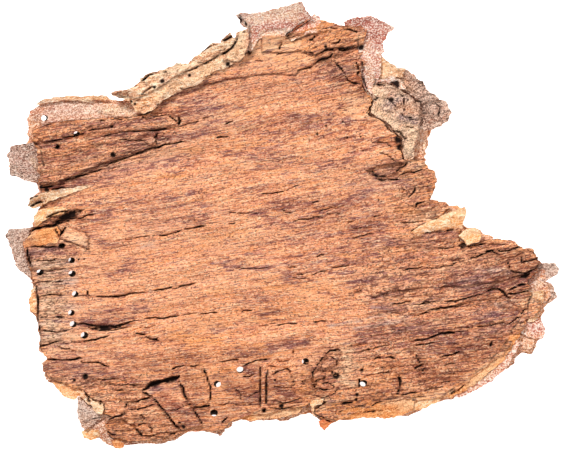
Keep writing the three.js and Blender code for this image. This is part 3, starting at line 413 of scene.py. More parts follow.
    (0.6, 50, 190.3, 58, 188.5, 67, 187), (0.4, 59, 184.7, 66, 182.7),
    (0.9, 27, 234, 34, 229.5, 42, 227, 50, 226, 58, 224, 64, 221.5, 74, 219.8),
    (0.5, 60.5, 236, 63, 231, 67, 226), (0.7, 44, 219, 54, 214.3, 62, 211.7, 71, 210.5),
    (2.2, 67.5, 217.5, 72, 214.5, 75.5, 212.5), (0.9, 50, 223.5, 60, 220.4, 68, 219, 77, 218.8),
    (0.45, 75, 218, 82, 218.5, 86, 216, 97, 213.3), (0.55, 29, 247.2, 38, 247, 46, 247.3, 61, 246.6),
    (0.6, 28, 247, 28, 255, 30, 262, 32.5, 269), (0.4, 55, 227.5, 57, 232, 59, 238),
    (0.35, 34, 260, 48, 260.5, 61, 258.6), (0.55, 314, 65.6, 318, 61, 324, 58.5, 330, 57.5, 333.5, 52),
    (0.85, 317, 55.4, 323, 52, 328, 50, 345, 49.5, 350, 47, 358, 46), (0.45, 302, 52, 312, 53, 313.5, 58),
    (0.45, 333, 61, 338, 66, 342, 70, 345, 75), (0.5, 345, 75, 347, 80, 352, 83.5, 361, 84),
    (0.5, 355, 60, 358, 68, 358, 78), (0.45, 361, 58, 364, 68, 362, 74, 364, 82, 368, 92),
    (0.45, 371, 77, 376, 81, 374, 85, 380, 84.5, 387, 85.6), (0.9, 389, 81.5, 394, 84, 398.5, 88.5),
    (0.35, 371, 105, 369, 110, 365, 115), (0.5, 382, 123, 390, 130, 400, 132.5, 407, 141),
    (0.5, 413, 99.5, 420, 102, 425, 99.6),
    (0.45, 283.5, 40, 287, 35, 293, 31, 299, 26, 304, 23, 310, 20.3),
    (0.3, 282, 39.5, 290, 38.5, 298, 36, 306, 35.5, 314, 33.8), (0.45, 281, 40.5, 281, 45, 279, 51),
    (0.3, 275, 56.3, 280, 54, 287, 52.8), (0.3, 255, 61, 264, 61.2),
    (0.45, 308, 41.3, 313, 40, 315, 35.5), (0.3, 319, 30.2, 330, 29, 341, 29.5),
    (0.5, 331, 44.3, 338, 43, 341, 39.5), (0.4, 296.5, 72, 300, 69.5, 308, 68.5, 314, 66.3),
    (0.35, 181, 74.3, 190, 71, 197, 68.5, 201, 65), (0.35, 200, 66.5, 208, 62.5, 215, 58.5, 220, 55.5),
    (0.5, 219, 56, 226, 53, 232, 49.5, 236, 44, 239, 37), (0.4, 141, 96.3, 148, 90, 156, 85.6),
]

# Exit holes bored right through: place on the face, and sideways drift for each
# millimetre of height
HOLES = [
    ((44.3, 118), (0.15, -0.03)), ((76, 133), (0.13, -0.12)), ((61.3, 245.3), (0.2, -0.14)),
    ((71.4, 260.2), (0.17, -0.03)), ((40, 272.3), (0.17, -0.08)), ((72, 273.5), (0.16, -0.07)),
    ((75, 294), (0.14, -0.03)), ((70.8, 312.7), (0.16, -0.02)), ((72.8, 324), (0.15, -0.02)),
    ((83.7, 335), (0.19, -0.03)), ((218, 384.3), (-0.06, 0.08)), ((240, 369.5), (0.03, 0)),
    ((304, 361.3), (0.17, 0.02)), ((363, 383.7), (0.03, 0.09)), ((214, 414.8), (0.02, 0.2)),
]

# Pits that don't go through: place, radius and depth in millimetres
PITS = [
    (72, 214, 1.4, 2.6), (68.5, 216.5, 1.1, 2.4), (40, 187, 1, 1.6), (47, 190, 0.8, 1.4),
    (163, 82, 0.8, 0.6), (155, 88, 0.6, 0.5), (190, 76, 0.6, 0.5), (228, 65, 0.8, 0.8), (396, 84, 1.2, 1),
    (398, 140, 1.3, 1.6), (400, 147, 1.1, 1.4), (391, 100, 0.9, 0.5), (240, 22, 1, 0.4),
    (57.5, 147, 0.9, 3), (361, 48, 1, 3), (336, 376, 1.1, 2.6), (86, 376.5, 1, 2), (113.5, 155, 0.9, 2),
    (399.5, 148, 0.9, 1.6), (132, 102, 0.5, 1.4), (135.5, 104.5, 0.5, 1.4), (317, 134, 0.5, 0.8),
    (326, 126, 0.4, 0.8), (343, 122, 0.35, 1), (347, 138, 0.35, 1), (361, 136.5, 0.35, 1),
    (357, 394, 0.6, 1.6), (356, 399, 0.5, 1.4), (112, 126.7, 0.55, 1.2), (281.5, 405.5, 0.8, 1.6),
    (75, 380, 0.5, 1), (84, 259, 0.35, 1), (79, 259.5, 0.4, 1), (249, 53.5, 0.7, 1.5),
    (325.5, 47.5, 0.5, 1.2), (407.5, 100.5, 0.4, 1), (422.5, 370, 0.4, 1), (362, 369.5, 0.6, 1.4),
    (378.5, 200, 0.35, 1), (382, 367, 0.4, 1), (399, 330, 0.3, 1), (275, 379.5, 0.45, 1.2),
    (184, 426, 0.7, 1.2), (180, 422, 0.4, 1), (264, 410, 0.7, 3), (463, 245.5, 1, 3), (525, 276, 0.8, 2),
    (401, 104, 0.3, 1), (404, 110, 0.35, 1),
]

# Tints of the bark in soft strokes, some of them painted shade: strength, half width in pixels, and the
# numbers of a line
STROKES = {
    "purple": [
        (0.4, 6, 55, 129, 150, 123), (0.3, 8, 50, 162, 110, 152), (0.7, 4, 80, 185, 150, 168),
        (0.8, 4, 384, 108, 402, 100), (0.9, 4, 402, 118, 416, 122), (0.9, 5, 468, 290, 494, 285),
        (0.5, 5, 46, 370, 78, 374), (0.5, 6, 170, 408, 196, 418), (0.7, 3, 305, 222, 350, 216),
        (0.7, 3, 300, 238, 345, 232), (0.6, 3, 310, 255, 350, 250), (0.6, 2.5, 360, 150, 380, 146),
        (0.9, 2.5, 45, 125, 60, 121), (1, 2, 50, 141, 70, 138), (0.7, 4, 42, 146, 64, 150),
        (0.6, 2, 70, 128, 92, 124), (0.6, 3, 95, 139, 118, 133), (0.8, 4, 116, 134, 160, 132),
        (0.6, 4, 110, 125, 165, 121), (0.7, 3, 112, 145, 150, 143), (0.7, 2, 40, 163, 62, 156),
        (0.9, 4, 58, 187, 88, 180), (0.9, 2, 75, 186, 95, 181), (0.7, 1.5, 98, 187, 128, 182),
        (0.8, 4, 126, 170, 165, 163), (0.6, 3, 92, 176, 125, 170), (0.7, 3, 158, 105, 200, 98),
        (0.8, 4, 190, 102, 218, 98), (1, 2, 208, 109.5, 245, 107), (0.8, 5, 182, 114, 208, 109),
        (1, 3.5, 180, 137, 218, 129.5), (0.8, 4, 158, 139, 196, 136), (0.7, 2, 193, 125, 218, 122),
        (0.7, 2.5, 234, 125, 264, 121), (0.7, 2, 260, 117.5, 273, 116), (0.6, 3, 248, 134, 264, 131),
        (0.5, 6, 268, 135, 298, 129), (0.6, 4, 272, 125, 298, 121), (0.9, 2.5, 226, 154, 250, 151),
        (0.7, 3, 248, 150, 278, 147), (0.7, 5, 255, 156, 290, 154), (0.8, 5, 155, 164, 204, 160),
        (0.8, 2, 163, 166.5, 190, 165), (0.8, 1.6, 200, 160, 211, 160), (0.6, 4, 252, 168, 298, 163),
        (1, 2.6, 186, 193.5, 198, 191), (0.6, 2, 242, 189, 278, 186), (0.6, 3, 286, 172, 296, 187),
        (0.9, 3, 155, 199, 178, 198), (0.8, 4, 183, 208, 206, 204), (1, 4, 194, 213, 206, 216.5),
        (0.8, 2, 205, 212, 226, 213), (1, 3, 224, 212.5, 242, 211), (0.8, 1.6, 240, 213, 272, 213),
        (1, 3, 254, 213.5, 268, 213), (0.8, 4, 270, 204, 298, 200), (1, 3, 278, 208, 290, 212),
        (0.6, 5, 160, 221, 204, 217), (0.5, 7, 130, 226, 180, 222), (0.8, 3, 183, 223.5, 202, 221),
        (0.8, 4, 276, 222, 300, 227), (0.6, 1.8, 250, 245, 282, 242), (0.6, 2, 248, 254, 262, 253),
        (1, 3, 228, 267.5, 246, 265), (0.9, 1.6, 240, 268.3, 278, 268), (1, 3, 261, 267.5, 276, 267),
        (0.6, 3, 212, 263, 240, 261), (0.8, 2, 270, 259, 300, 256), (0.8, 4, 284, 264, 298, 268),
        (0.9, 5, 284, 276, 296, 281), (0.6, 3, 290, 165.5, 332, 160), (0.7, 2, 318, 166.5, 342, 164),
        (0.5, 2, 303, 171.5, 322, 172), (0.6, 4, 345, 158, 357, 153), (0.8, 3, 355, 194, 374, 190),
        (0.9, 3.5, 350, 197.5, 372, 196), (0.7, 5, 368, 188, 404, 182), (0.8, 2, 298, 199.7, 328, 196.7),
        (0.7, 5, 283, 206, 308, 204), (0.7, 3, 330, 203.5, 350, 202), (0.7, 4, 310, 214, 342, 212),
        (0.8, 3.5, 296, 217, 312, 216), (0.6, 5, 352, 208, 374, 204), (0.9, 2, 368, 213, 377, 213),
        (0.9, 2, 284, 223.5, 302, 223), (0.9, 2.5, 302, 226, 314, 225), (0.7, 3, 350, 219, 374, 216),
        (0.8, 4, 358, 227, 382, 224), (0.8, 5, 352, 233, 384, 231), (0.5, 6, 288, 231, 326, 233),
        (0.9, 2.6, 282, 258, 300, 256), (0.6, 4, 300, 262, 334, 260), (0.6, 4, 288, 271, 322, 268),
        (0.7, 4, 330, 256, 352, 250), (0.8, 3, 344, 262.5, 364, 261), (0.8, 3, 354, 249, 374, 243),
        (0.7, 3, 350, 236, 368, 235), (0.8, 2, 328, 249, 352, 247), (0.6, 5, 364, 243, 390, 241),
        (1, 2.6, 388, 243, 402, 241), (0.4, 5, 400, 246, 430, 242), (0.7, 2.6, 358, 257.5, 382, 255),
        (0.5, 4, 393, 260, 428, 255), (1, 4.5, 348, 284, 373, 280), (0.9, 2.6, 333, 274, 349, 271),
        (0.7, 2, 323, 293, 342, 297), (0.8, 3, 388, 281, 411, 279), (0.8, 3.5, 392, 293, 409, 290),
        (0.9, 3, 370, 298, 388, 293), (0.9, 2, 371, 308, 398, 308), (0.8, 2.4, 388, 311, 408, 308),
        (0.7, 7, 360, 336, 430, 325), (0.9, 1.6, 283, 278, 314, 279), (0.6, 3, 408, 273, 430, 272),
        (0.7, 7, 420, 233, 456, 232), (1, 4.5, 446, 284, 498, 282), (0.9, 2, 438, 288.5, 472, 287.5),
        (0.8, 6, 452, 276, 496, 276), (0.9, 5, 498, 286, 528, 279), (1, 4.5, 476, 318, 512, 313),
        (0.9, 3, 466, 324, 494, 320), (0.4, 6, 446, 313, 504, 309), (0.8, 4, 498, 331, 522, 318),
        (0.5, 8, 455, 341, 494, 331), (0.9, 3.5, 82, 321, 114, 317), (0.7, 4, 96, 314, 146, 307),
        (0.8, 3.5, 58, 321, 72, 318), (0.8, 3, 100, 323, 128, 319), (0.7, 3, 50, 345, 68, 344),
        (0.8, 6, 42, 370, 60, 361, 80, 366), (0.6, 3, 56, 356, 84, 354), (0.7, 2, 122, 356, 136, 355),
        (0.8, 5, 242, 304, 268, 300), (1, 3.5, 265, 314, 277, 311), (0.8, 4, 232, 353, 258, 351),
        (1, 6, 272, 347, 302, 343), (0.5, 3, 238, 297, 258, 294), (0.6, 6, 158, 346, 180, 342),
        (0.8, 5, 244, 368, 258, 371), (0.7, 4, 88, 374, 122, 375), (0.6, 5, 152, 388, 174, 382),
        (0.8, 3, 118, 397, 130, 392), (0.7, 9, 364, 336, 442, 329), (1, 2.6, 418, 340, 440, 334, 467, 332),
        (0.8, 3, 396, 346, 414, 342), (0.3, 4, 356, 346, 360, 356), (0.7, 5, 428, 346, 464, 340),
        (0.7, 3, 444, 353, 480, 345), (0.4, 8, 318, 72, 348, 66), (0.5, 6, 322, 68, 342, 76),
        (0.5, 5, 298, 76, 332, 79), (0.7, 3, 318, 92.5, 348, 90), (0.7, 6, 286, 120, 328, 119),
        (0.8, 5, 300, 127, 328, 126), (0.7, 4, 338, 123, 352, 120), (0.8, 2, 340, 140, 354, 138),
        (0.9, 2, 359, 139.5, 374, 138), (0.6, 4, 325, 108, 348, 104), (0.8, 4, 130, 202, 168, 197),
        (0.5, 6, 128, 213, 170, 207), (0.8, 2.4, 93, 213, 124, 207), (0.6, 2, 76, 206.5, 102, 203),
        (0.7, 4, 98, 219, 114, 215), (0.6, 5, 86, 229, 108, 222), (0.7, 5, 94, 239, 116, 246),
        (0.9, 3, 108, 274, 132, 270), (0.7, 4, 124, 264, 134, 260), (0.9, 5, 28, 254, 72, 250),
        (0.8, 8, 234, 388, 257, 396), (0.7, 8, 268, 380, 292, 396), (0.6, 5, 286, 240, 310, 246),
        (0.4, 9, 180, 88, 250, 84), (0.35, 9, 262, 86, 310, 84), (0.6, 3, 215, 330, 250, 328),
    ],
    # Umber: the bark's own brown, and painted shade below raised edges and beside cracks
    "umber": [
        (0.6, 6, 40, 196, 62, 192), (0.5, 8, 34, 146, 36, 176), (0.5, 7, 200, 408, 230, 414),
        (0.8, 7, 440, 352, 500, 342), (0.6, 5, 150, 402, 168, 420), (0.8, 4, 184, 108, 188, 122),
        (0.8, 5, 28, 234, 32, 240), (0.9, 4, 70, 217, 82, 222), (0.8, 3, 40, 188, 60, 190),
        (0.6, 6, 150, 420, 170, 426), (0.6, 6, 212, 408, 226, 420), (0.7, 5, 158, 384, 176, 410, 186, 424),
        (0.8, 6, 188, 372, 196, 396), (0.3, 6, 216, 372, 228, 396), (0.4, 4, 132, 374, 170, 368),
        (0.6, 5, 174, 116, 196, 116), (0.6, 5, 218, 82, 240, 78), (0.6, 4, 40, 118, 46, 128),
        (0.6, 4, 140, 144, 154, 138), (0.9, 3, 236, 20, 244, 28), (0.8, 3, 344, 22, 372, 20, 390, 28),
        (0.7, 4, 196, 54, 212, 46), (0.6, 4, 340, 360, 326, 372), (0.6, 6, 320, 374, 330, 386),
        (1, 5, 28, 204, 42, 200), (0.9, 4, 27, 232, 31, 242), (0.8, 3, 30, 214, 36, 222),
        (0.7, 4, 36, 118, 52, 124), (0.5, 5, 34, 150, 38, 172),
        # the first stroke here is painted shadow below the cork strip's lower edge
        (0.9, 3, 158, 108, 165, 100, 185, 91, 203, 86, 216, 80), (0.6, 4, 386, 104, 404, 108),
        (0.8, 3, 404, 120, 416, 124), (0.8, 2.5, 470, 292, 494, 287), (0.7, 3, 36, 186, 60, 184, 84, 178),
        (0.6, 7, 150, 400, 190, 412), (0.5, 4, 40, 345, 44, 365), (0.6, 9, 188, 376, 204, 408),
        (0.6, 9, 225, 370, 232, 402), (0.6, 8, 248, 368, 252, 400), (0.5, 8, 205, 357, 262, 354),
        (0.7, 8, 125, 363, 190, 358), (0.8, 8, 462, 355, 500, 346), (0.8, 1.6, 238, 16, 268, 13, 302, 5),
        (1, 2.4, 238, 17, 247, 28), (0.9, 1.8, 140, 80, 158, 72, 176, 65), (0.9, 3, 222, 42, 234, 36),
        (0.8, 2, 112, 94, 130, 93), (0.8, 4, 345, 22, 366, 21), (0.2, 12, 42, 135, 100, 132, 160, 126),
        # the second stroke here is painted shadow below the thick rounded plate's lower edge
        (0.3, 14, 46, 160, 110, 150), (1, 4, 66, 179, 100, 168, 115, 159, 138, 151),
        (0.9, 5, 141, 138, 160, 134), (1, 5, 165, 117, 180, 114), (1, 6, 40, 185, 60, 190),
        (0.7, 3, 324, 50, 356, 50), (0.6, 4, 320, 56, 346, 53), (0.4, 4, 314, 64, 346, 62),
        (1, 7, 336, 80, 360, 78), (0.9, 5, 346, 58, 360, 92), (0.8, 5, 380, 142, 402, 144),
        (1, 5, 378, 176, 398, 165), (0.4, 7, 405, 175, 432, 190), (1, 4, 84, 325, 132, 321),
        (0.6, 3, 42, 297, 72, 295), (0.8, 5, 45, 365, 104, 370), (0.9, 7, 158, 367, 198, 354),
        (0.5, 4, 150, 377, 178, 368), (0.4, 5, 106, 386, 140, 385), (0.9, 4, 78, 376, 94, 379),
        (0.8, 6, 100, 434, 134, 441), (0.7, 5, 92, 427, 108, 430), (0.7, 5, 198, 384, 206, 404),
        (0.8, 5, 188, 400, 204, 418), (0.9, 4, 176, 427, 192, 421), (0.7, 10, 232, 388, 256, 400),
        (0.7, 9, 268, 385, 296, 400), (0.3, 8, 318, 358, 336, 354), (0.4, 6, 318, 388, 336, 391),
        (0.5, 3, 326, 351, 342, 347), (0.8, 4, 303, 344, 312, 337), (0.7, 9, 395, 366, 440, 376),
        (0.8, 9, 424, 381, 464, 374), (1, 4, 398, 376, 399, 392), (0.8, 6, 383, 392, 397, 384),
        (1, 6, 416, 352, 421, 368), (0.6, 6, 436, 362, 460, 357), (0.9, 9, 506, 258, 536, 266),
        (0.9, 6, 498, 278, 532, 274), (1, 5, 504, 294, 532, 288), (0.9, 4, 466, 298, 486, 293),
        (0.7, 5, 512, 304, 522, 312), (0.6, 8, 486, 250, 500, 262), (0.3, 10, 440, 240, 470, 262),
        (0.15, 16, 430, 290, 500, 300), (0.2, 12, 440, 325, 500, 335), (0.6, 5, 268, 315, 292, 308),
        (0.5, 18, 240, 400, 300, 392), (0.2, 14, 150, 410, 196, 422), (0.5, 14, 330, 408, 400, 396),
        (0.2, 12, 116, 425, 160, 430), (0.8, 4, 30, 250, 30, 268), (0.8, 4, 50, 220, 76, 220),
        (0.5, 8, 352, 232, 384, 226), (0.4, 8, 310, 214, 346, 208), (0.3, 6, 408, 190, 432, 205),
        (0.5, 5, 415, 238, 425, 244), (0.6, 2.5, 139, 74, 176, 64), (0.7, 2.5, 196, 55, 212, 43),
        (1, 4, 223, 40, 234, 36), (0.9, 4, 112, 94, 132, 94), (0.9, 2.5, 238, 15, 250, 16),
        (0.8, 2, 270, 12, 302, 4), (1, 3.5, 343, 26, 352, 23, 362, 25), (0.5, 10, 395, 82, 420, 118),
        (0.6, 6, 402, 74, 416, 86), (0.6, 5, 416, 102, 430, 116), (0.9, 2.5, 303, 8, 310, 18),
    ],
    "warm": [
        (1, 6, 304, 374, 312, 398), (0.8, 6, 400, 208, 420, 214), (0.7, 5, 225, 60, 232, 66),
        (0.8, 6, 306, 48, 326, 52), (0.9, 7, 366, 394, 410, 396), (0.6, 6, 140, 156, 172, 150),
        (0.4, 16, 200, 320, 310, 305), (0.4, 14, 180, 350, 300, 350), (0.9, 9, 372, 396, 420, 396),
        (0.9, 8, 305, 396, 325, 404), (0.5, 12, 200, 372, 300, 386), (0.5, 9, 110, 425, 180, 432),
        (1, 8, 305, 402, 350, 404), (1, 8, 350, 405, 420, 400), (0.8, 7, 205, 382, 240, 392, 262, 388),
        (0.8, 6, 300, 52, 322, 56), (0.8, 6, 246, 48, 302, 42), (0.9, 5, 400, 78, 412, 92),
        (0.8, 6, 508, 345, 526, 336), (0.6, 6, 86, 420, 100, 432), (0.8, 4, 458, 388, 484, 374, 500, 358),
        (0.8, 3, 508, 348, 524, 322), (0.7, 4, 118, 396, 140, 410), (0.7, 5, 76, 425, 96, 436),
        (0.7, 4, 150, 440, 182, 434), (0.8, 5, 300, 30, 340, 30), (0.8, 7, 310, 405, 345, 404),
        (0.9, 6, 350, 403, 420, 398), (0.8, 6, 455, 389, 500, 363), (0.8, 5, 500, 362, 520, 335),
        (0.8, 4, 140, 106, 180, 84, 214, 66), (0.7, 4, 226, 60, 243, 45), (0.7, 5, 384, 66, 400, 76),
        (0.6, 6, 405, 112, 414, 104), (0.7, 9, 250, 50, 300, 60), (0.6, 5, 305, 45, 345, 40),
        (0.7, 4, 400, 170, 428, 182), (0.8, 5, 400, 106, 416, 118), (0.8, 3, 418, 230, 462, 212),
        (0.9, 5, 470, 236, 476, 232), (0.7, 2, 46, 133, 84, 126), (0.8, 1.5, 56, 135.5, 92, 130),
        (0.8, 3, 44, 157, 72, 149), (0.7, 6, 78, 166, 112, 157), (0.6, 4, 100, 162, 128, 152),
        (0.6, 4, 88, 147, 102, 146), (0.8, 3, 138, 161, 168, 152), (0.7, 4, 158, 153, 196, 149),
        (0.8, 1.8, 156, 177, 184, 175.5), (0.6, 3, 228, 116, 262, 112), (0.5, 4, 238, 148, 256, 144),
        (0.8, 1.5, 348, 83, 360, 82), (0.9, 5, 28, 237, 56, 230), (0.8, 3, 28, 243, 52, 240),
        (0.6, 1.5, 46, 256.5, 62, 256), (0.6, 1.2, 44, 268, 72, 265.5), (0.7, 1.6, 38, 278.5, 78, 276),
        (0.8, 3, 34, 212, 62, 209), (0.7, 2, 40, 296, 72, 294), (0.6, 1.6, 42, 317, 66, 314),
        (0.6, 3, 86, 293, 104, 289), (0.5, 5, 146, 318, 168, 311), (1, 7, 174, 339, 218, 341),
        (1, 2, 180, 336, 188, 336), (0.9, 2, 208, 336.5, 216, 336), (0.9, 2, 248, 336, 256, 335),
        (0.5, 7, 212, 292, 244, 300), (0.6, 4, 258, 345, 272, 343), (0.6, 2, 218, 356, 250, 356),
        (0.7, 5, 198, 366, 232, 367), (0.5, 8, 268, 286, 340, 288), (0.5, 8, 296, 300, 336, 304),
        (0.7, 2, 343, 256, 356, 256), (0.6, 5, 384, 251, 412, 249), (0.7, 2, 412, 269, 428, 264.5),
        (0.5, 4, 514, 250, 532, 248), (0.7, 5, 498, 346, 548, 334), (0.9, 2.6, 263, 366, 263.5, 402),
        (0.8, 4.5, 303, 372, 308, 385), (1, 5.5, 307, 390, 313, 398), (0.8, 4, 268, 411, 300, 406),
        (0.6, 8, 366, 382, 394, 377), (0.7, 7, 374, 397, 402, 399), (0.6, 4, 362, 366, 388, 364),
        (0.6, 5, 408, 396, 450, 387), (0.6, 5, 456, 380, 484, 368), (0.9, 4, 345, 417, 382, 413),
        (1, 4, 380, 414, 412, 411), (1, 3, 247, 421, 266, 417), (1, 3.5, 320, 425, 334, 421),
        (0.9, 4, 112, 444, 126, 440), (1, 4, 60, 388, 80, 394), (0.9, 4, 82, 436, 100, 434),
        (0.8, 3, 35, 190, 44, 186), (0.8, 3, 42, 103, 74, 98, 108, 99), (0.8, 4, 466, 234, 484, 236),
        (0.8, 3, 404, 228, 418, 236), (0.8, 3, 310, 26, 332, 23), (0.7, 4, 300, 44, 345, 34),
        (0.5, 8, 262, 48, 310, 50), (0.7, 4, 380, 62, 394, 70), (0.7, 4, 404, 104, 414, 112),
        (0.6, 3, 250, 16, 266, 15), (0.7, 4, 388, 137, 398, 150), (0.8, 4, 30, 300, 34, 312),
        (0.7, 3, 44, 362, 48, 370), (0.6, 5, 196, 404, 224, 400), (0.5, 6, 330, 100, 348, 112),
        (0.6, 4, 536, 320, 548, 300), (0.7, 3, 545, 292, 552, 284), (0.5, 5, 160, 437, 186, 432),
        (0.7, 2, 225, 357, 252, 352), (0.4, 6, 205, 238, 245, 232), (0.5, 5, 32, 125, 36, 132),
    ],
    "pale": [
        (0.9, 6, 47, 264, 52, 292), (0.9, 6, 48, 300, 54, 340), (0.7, 5, 70, 238, 86, 246),
        (0.9, 5, 346, 352, 349, 364, 343, 374), (0.4, 16, 54, 262, 58, 340),
        (0.8, 6, 346, 348, 349, 362, 344, 380), (0.7, 4, 246, 22, 298, 14), (0.5, 6, 366, 44, 372, 84),
        (0.6, 9, 46, 262, 52, 340), (0.8, 4, 164, 74, 186, 68), (0.8, 9, 244, 50, 292, 45),
        (0.7, 4, 368, 66, 372, 84), (0.9, 6, 374, 112, 394, 126), (0.9, 5, 408, 160, 416, 168),
        (0.7, 5, 314, 408, 326, 402), (0.6, 4, 256, 18, 296, 8), (0.6, 2, 262, 20, 298, 17),
        (0.7, 5, 256, 23, 298, 12), (0.6, 4, 368, 60, 374, 84), (0.5, 5, 42, 270, 58, 266),
        (0.7, 3, 68, 232, 88, 244), (1, 2.5, 262, 36, 285, 33), (0.8, 4, 240, 36, 242, 56),
        (0.9, 1.6, 64, 193, 80, 189, 90, 185.5), (0.9, 1.8, 35, 218, 67, 208.5),
        (0.8, 1, 178, 129, 198, 127.5, 208, 123), (0.8, 0.9, 234, 106, 243, 111), (0.5, 5, 350, 101, 364, 99),
        (0.5, 4, 350, 112, 360, 107), (1, 4, 104, 110, 120, 112, 134, 116), (0.9, 2, 115, 108, 126, 108),
        (1, 7, 345, 350, 349, 364, 343, 378), (1, 4, 345, 354, 349, 364, 343, 376),
        (1, 3.5, 345, 381, 357, 384), (0.8, 4, 312, 406, 321, 401, 330, 400), (0.9, 4, 258, 416, 300, 411),
        (0.6, 1.3, 428, 321, 446, 318), (0.5, 4, 412, 303, 428, 306), (0.8, 5, 414, 222, 446, 212, 466, 211),
        (0.9, 4, 464, 232, 478, 230), (0.8, 5, 94, 397, 102, 406), (0.8, 3, 96, 402, 103, 408),
        (0.6, 3, 143, 392, 152, 392), (0.6, 3, 40, 303, 66, 297), (0.8, 3, 386, 402, 404, 400),
        (0.7, 6, 404, 404, 440, 397), (0.7, 6, 470, 383, 490, 368), (0.7, 4, 490, 365, 505, 350),
        (0.8, 4, 374, 89, 382, 95, 378, 110), (0.8, 5, 372, 114, 392, 122), (0.8, 4, 390, 125, 402, 133),
        (0.9, 6, 406, 128, 414, 134, 408, 150), (0.8, 5, 384, 72, 400, 80, 402, 90),
        (0.9, 4, 262, 34, 285, 34.5), (0.8, 3.5, 250, 52, 258, 42), (0.7, 5, 284, 16, 296, 22),
        (0.8, 8, 230, 56, 240, 44, 246, 32), (0.6, 7, 160, 92, 196, 80, 222, 60),
        (0.8, 1.3, 373, 50, 381, 57), (0.7, 4, 522, 326, 527, 334), (0.7, 5, 424, 143, 426, 155),
        (0.7, 3, 355, 32, 357, 38), (0.8, 3, 532, 292, 536, 300), (0.6, 3, 70, 337, 76, 336),
        (0.5, 3, 58, 340, 66, 338), (0.6, 1.5, 100, 148, 106, 147), (0.5, 4, 418, 166, 430, 158),
        (0.7, 3, 33, 160, 37, 167),
    ],
    "grey": [
        (0.2, 22, 60, 290, 80, 370), (0.3, 14, 90, 170, 170, 150), (0.3, 12, 200, 110, 230, 118),
        (0.35, 12, 360, 186, 385, 176), (0.5, 9, 464, 286, 480, 280), (0.7, 5, 40, 101, 90, 106),
        (0.6, 8, 50, 112, 100, 110), (0.8, 3, 244, 18, 300, 9), (1, 4.5, 34, 266, 74, 261),
        (1, 4, 38, 275.5, 70, 272), (1, 5, 40, 287, 60, 283, 74, 281), (0.7, 4, 42, 306, 70, 308),
        (0.9, 5, 42, 323, 58, 321), (0.9, 5, 42, 336, 62, 334), (0.8, 2, 62, 309.5, 74, 305.5),
        (0.9, 1.6, 76, 307, 80, 306), (0.7, 3, 28, 252, 60, 248), (0.9, 1.6, 330, 326, 360, 320, 386, 314),
        (0.9, 1.8, 357, 329, 395, 321, 413, 315), (0.7, 2, 372, 308, 392, 308), (0.7, 3, 478, 270, 504, 270),
        (0.8, 2.4, 496, 305, 500, 306), (0.8, 2.6, 506, 303, 516, 301), (0.6, 2.4, 152, 390, 164, 388),
        (0.9, 5, 386, 102, 400, 97), (0.9, 5, 400, 116, 416, 120), (0.7, 3, 390, 108, 394, 104),
        (0.6, 5, 242, 20, 252, 24), (0.7, 5, 252, 20, 296, 10), (0.6, 3, 162, 83, 165, 81),
        (0.6, 3, 186, 78, 194, 76), (0.5, 3, 166, 74, 180, 70), (0.7, 3, 226, 64, 234, 66),
        (0.6, 8, 12, 230, 28, 232), (0.6, 3, 140, 246, 150, 245), (0.6, 4, 344, 72, 352, 71),
        (0.5, 9, 402, 96, 440, 104), (0.6, 3, 86, 418, 100, 424), (0.5, 8, 546, 266, 556, 268),
        (0.7, 2, 484, 316, 498, 313), (0.6, 8, 84, 408, 92, 416),
    ],
    "light": [
        (0.7, 7, 306, 360, 322, 372), (0.8, 8, 318, 48, 345, 56), (0.7, 9, 320, 62, 340, 72),
        (0.7, 8, 356, 288, 376, 282), (0.7, 8, 396, 290, 424, 280), (0.8, 6, 408, 204, 420, 212),
        (0.8, 6, 476, 252, 490, 256), (0.7, 7, 100, 312, 108, 336), (0.7, 6, 150, 384, 172, 384),
        (0.7, 6, 60, 384, 76, 388), (0.6, 9, 312, 358, 330, 366), (0.6, 9, 400, 175, 420, 210),
        (0.6, 9, 384, 248, 420, 240), (0.6, 9, 460, 250, 500, 252), (0.5, 9, 380, 305, 450, 300),
        (0.6, 6, 100, 130, 150, 126), (0.7, 6, 30, 246, 34, 256), (0.8, 5, 64, 238, 84, 238),
        (0.5, 14, 180, 285, 270, 272), (0.5, 14, 110, 235, 170, 225), (0.9, 7, 310, 360, 326, 352),
        (0.8, 8, 208, 378, 226, 384), (0.8, 6, 480, 332, 500, 328), (0.8, 6, 526, 276, 534, 270),
        (0.7, 7, 505, 254, 520, 254), (0.7, 8, 350, 286, 420, 280), (0.8, 6, 44, 258, 52, 342),
        (0.8, 6, 350, 276, 420, 270), (0.8, 6, 108, 430, 124, 438), (0.7, 5, 490, 306, 500, 330),
        (0.8, 6, 315, 52, 345, 62), (0.6, 6, 126, 408, 150, 416), (0.6, 5, 164, 392, 176, 388),
        (0.7, 5, 128, 312, 160, 305), (0.9, 8, 245, 62, 300, 68), (0.8, 6, 246, 48, 290, 46),
        (0.7, 5, 40, 300, 60, 298), (0.6, 5, 38, 335, 62, 332), (0.7, 6, 520, 275, 534, 272),
        (0.5, 6, 50, 368, 78, 364), (0.6, 8, 90, 250, 110, 340), (0.5, 8, 120, 130, 160, 124),
        (0.9, 11, 252, 52, 300, 58), (0.7, 7, 310, 60, 330, 52), (0.6, 6, 300, 374, 316, 354),
        (0.6, 7, 346, 372, 362, 350), (0.7, 5, 42, 312, 68, 306), (0.5, 8, 270, 72, 300, 70),
        (0.6, 7, 398, 162, 418, 172), (0.5, 8, 110, 175, 200, 150), (0.6, 5, 352, 285, 374, 281),
        (0.9, 7, 440, 268, 478, 262), (0.9, 5, 405, 325, 450, 324), (0.6, 4, 468, 333, 504, 330),
        (0.5, 6, 64, 237, 84, 238), (0.6, 5, 66, 228, 86, 246), (0.4, 6, 200, 175, 242, 164),
        (0.4, 6, 155, 246, 204, 238), (0.5, 3, 158, 190, 204, 185), (0.4, 8, 262, 52, 308, 58),
        (0.4, 8, 210, 250, 240, 245), (0.4, 6, 290, 290, 320, 296), (0.4, 6, 150, 385, 176, 392),
        (0.5, 8, 300, 352, 316, 356), (0.4, 6, 190, 322, 220, 326), (0.4, 7, 240, 240, 270, 232),
